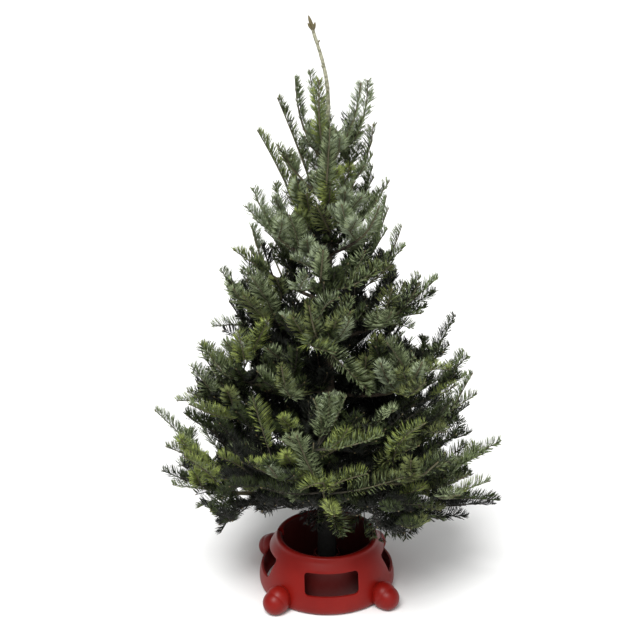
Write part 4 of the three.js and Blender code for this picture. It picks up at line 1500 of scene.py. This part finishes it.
def make_trunk():
    """The stem from its flat cut to the leader's bud, drawn up ring by ring, with bark relief."""
    draw = seeded(SEED + 5)
    jitter = jitter_of(draw)
    rings = [(BUTT_RADIUS, TRUNK_FOOT, 0)]
    for height in np.arange(TRUNK_FOOT, TREE_HEIGHT - BUD_LENGTH, TRUNK_STEP)[1:]:
        radius, aside = trunk_radius(height) * (1 + jitter(0.02)), lean_at(height)
        if height > LEADER_FOOT:
            radius += 0.35 * max(0, math.sin(height * 0.21)) + 0.25 * draw()
            aside += 0.8 * math.sin(height * 0.045)
        rings.append((radius, height, aside))
    stem = drawn_up("trunk_bark", rings, TRUNK_SIDES)
    relief = bpy.data.textures.new("bark_relief", "CLOUDS")
    relief.noise_scale = 0.012
    apply_modifier(stem, "SUBSURF", levels=1, render_levels=1, subdivision_type="SIMPLE")
    apply_modifier(stem, "DISPLACE", texture=relief, strength=0.0011, mid_level=0.5)
    set_materials(stem, [BARK, LEADER_BARK],
                  lambda face: int(face.center.z > YOUNG_BARK_FROM * MM))
    return smooth(stem, 50), rings[-1][1]


def make_boughs(limbs):
    """The limbs' bark: a flared collar at the trunk, then a slow taper to the end spray."""
    heap = Heap()
    for limb in limbs:
        course = limb["course"].part(0, 1 - END_TRIM / limb["course"].length)
        root = limb["tier"]["root"]
        radii = [root * share for share in BOUGH_TAPER] + [max(1.2, root * 0.24)]
        places, faces = tube(course, radii, BOUGH_SIDES, BOUGH_STEPS)
        wave = np.sin(places[:, 0] * 0.9) * np.sin(places[:, 1] * 0.8) * np.sin(places[:, 2] * 0.7)
        # the last two places are the ends' middles
        middle = course.at(np.repeat(np.linspace(0, 1, BOUGH_STEPS + 1), BOUGH_SIDES))
        places[:-2] += (places[:-2] - middle) * 0.06 * wave[:-2, None]
        old = 0 if limb["tier"]["name"] in YOUNG_TIERS else OLD_BARK_SHARE
        young = np.arange(len(faces)) > old * 2 * BOUGH_SIDES * BOUGH_STEPS
        heap.add(places, faces, young.astype(int))
    return smooth(heap.piece("bough_bark", [BARK, TWIG_BARK]), 60)


def make_buds(limbs, leader_top):
    """Blunt resinous buds: a cluster on the leader and one at the end of each outer shoot."""
    heap = Heap()

    def bud(place, way, length, radius):
        course = Course([place, place + way * length * 0.5, place + way * length])
        heap.add(*tube(course, (radius * 0.75, radius, radius * 0.95, radius * 0.35), 6, 4))

    crest = np.array([lean_at(leader_top), 0.0, leader_top])
    way = unit(np.array([-0.32, 0, 1.0]))
    bud(crest - way * 3, way, (TREE_HEIGHT - leader_top) * 1.05 + 1, 4.3)
    for turn in range(5):
        aside = np.array([math.cos(turn * 1.257), math.sin(turn * 1.257), 0.0])
        bud(crest + aside * 2.2, unit(way + 0.45 * aside), 13, 3)
    for height, turn in ((1168, 0.3), (1120, 2.4), (1074, 4.4), (1042, 1.2), (1012, 5.2)):
        aside = np.array([math.cos(turn), math.sin(turn), 0.0])
        place = np.array([lean_at(height), 0.0, height]) + aside * 2.4
        bud(place, unit(aside + 1.2 * UP), 6, 1.9)
    for limb in limbs:
        for shoot in limb["shoots"]:
            if shoot["level"] < 2 or shoot["course"].length > 60:
                course = shoot["course"]
                bud(course.at(1.0), course.ahead(1.0), 4, 1.4)
    return smooth(heap.piece("fir_buds", [BUD_SCALE]), 60)


# Camera, light and floor

def make_camera():
    """The photo's own view."""
    data = bpy.data.cameras.new("camera")
    data.lens = CAMERA_LENS
    data.sensor_width = 36
    data.dof.use_dof = False
    camera = bpy.data.objects.new("camera", data)
    bpy.context.collection.objects.link(camera)
    camera.location = SEEN_FROM * MM
    camera.rotation_euler = (math.radians(90 - CAMERA_DOWN), 0, math.radians(CAMERA_TURN))
    bpy.context.scene.camera = camera


def add_sun(name, came_from, strength, spread):
    """A wide soft light that falls evenly on tree and floor."""
    data = bpy.data.lights.new(name, "SUN")
    data.energy = strength
    data.angle = math.radians(spread)
    lamp = bpy.data.objects.new(name, data)
    bpy.context.collection.objects.link(lamp)
    lamp.rotation_euler = Vector(came_from).to_track_quat("Z", "Y").to_euler()


def make_studio():
    bpy.ops.mesh.primitive_plane_add(size=30, location=(0, 6, 0))
    floor = settle(added("floor"))
    set_materials(floor, [new_material("white_paper_floor", "#f1f1f0", 0.95)[0]])
    add_sun("key", (-0.4, -0.9, 1.6), 3.85, 30)
    add_sun("front", (0.35, -1.0, 0.55), 0.4, 45)
    world = bpy.data.worlds.new("studio")
    bpy.context.scene.world = world
    world.use_nodes = True
    background = world.node_tree.nodes["Background"]
    background.inputs["Color"].default_value = (1, 1, 1, 1)
    background.inputs["Strength"].default_value = 0.47
    bpy.context.scene.view_settings.view_transform = "Standard"


# The whole

make_camera()
make_studio()
shell, socket = make_stand()
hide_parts("stand")
trunk, leader_top = make_trunk()
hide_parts("trunk")

limbs = [plan_limb(tier, i, k) for i, tier in enumerate(TIERS) for k in range(tier["count"])]
grow_front_sprays(limbs)
for limb in limbs:
    grow_limb(limb)
grow_tips(limbs)
grow_long_tips(limbs)
grow_hanging(limbs)
grow_on_bare_parts(limbs)
grow_from_stem(limbs)
fill_outline(limbs)
fill_crown(limbs)
boughs = make_boughs(limbs)
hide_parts(*[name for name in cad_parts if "_bough_" in name])
needle_pieces, twigs = make_foliage(limbs)
buds = make_buds(limbs, leader_top)

for piece, masses in needle_pieces:
    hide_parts(*masses)
for piece in (shell, socket, trunk, boughs, twigs, buds, *[one for one, _ in needle_pieces]):
    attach(piece, "root")
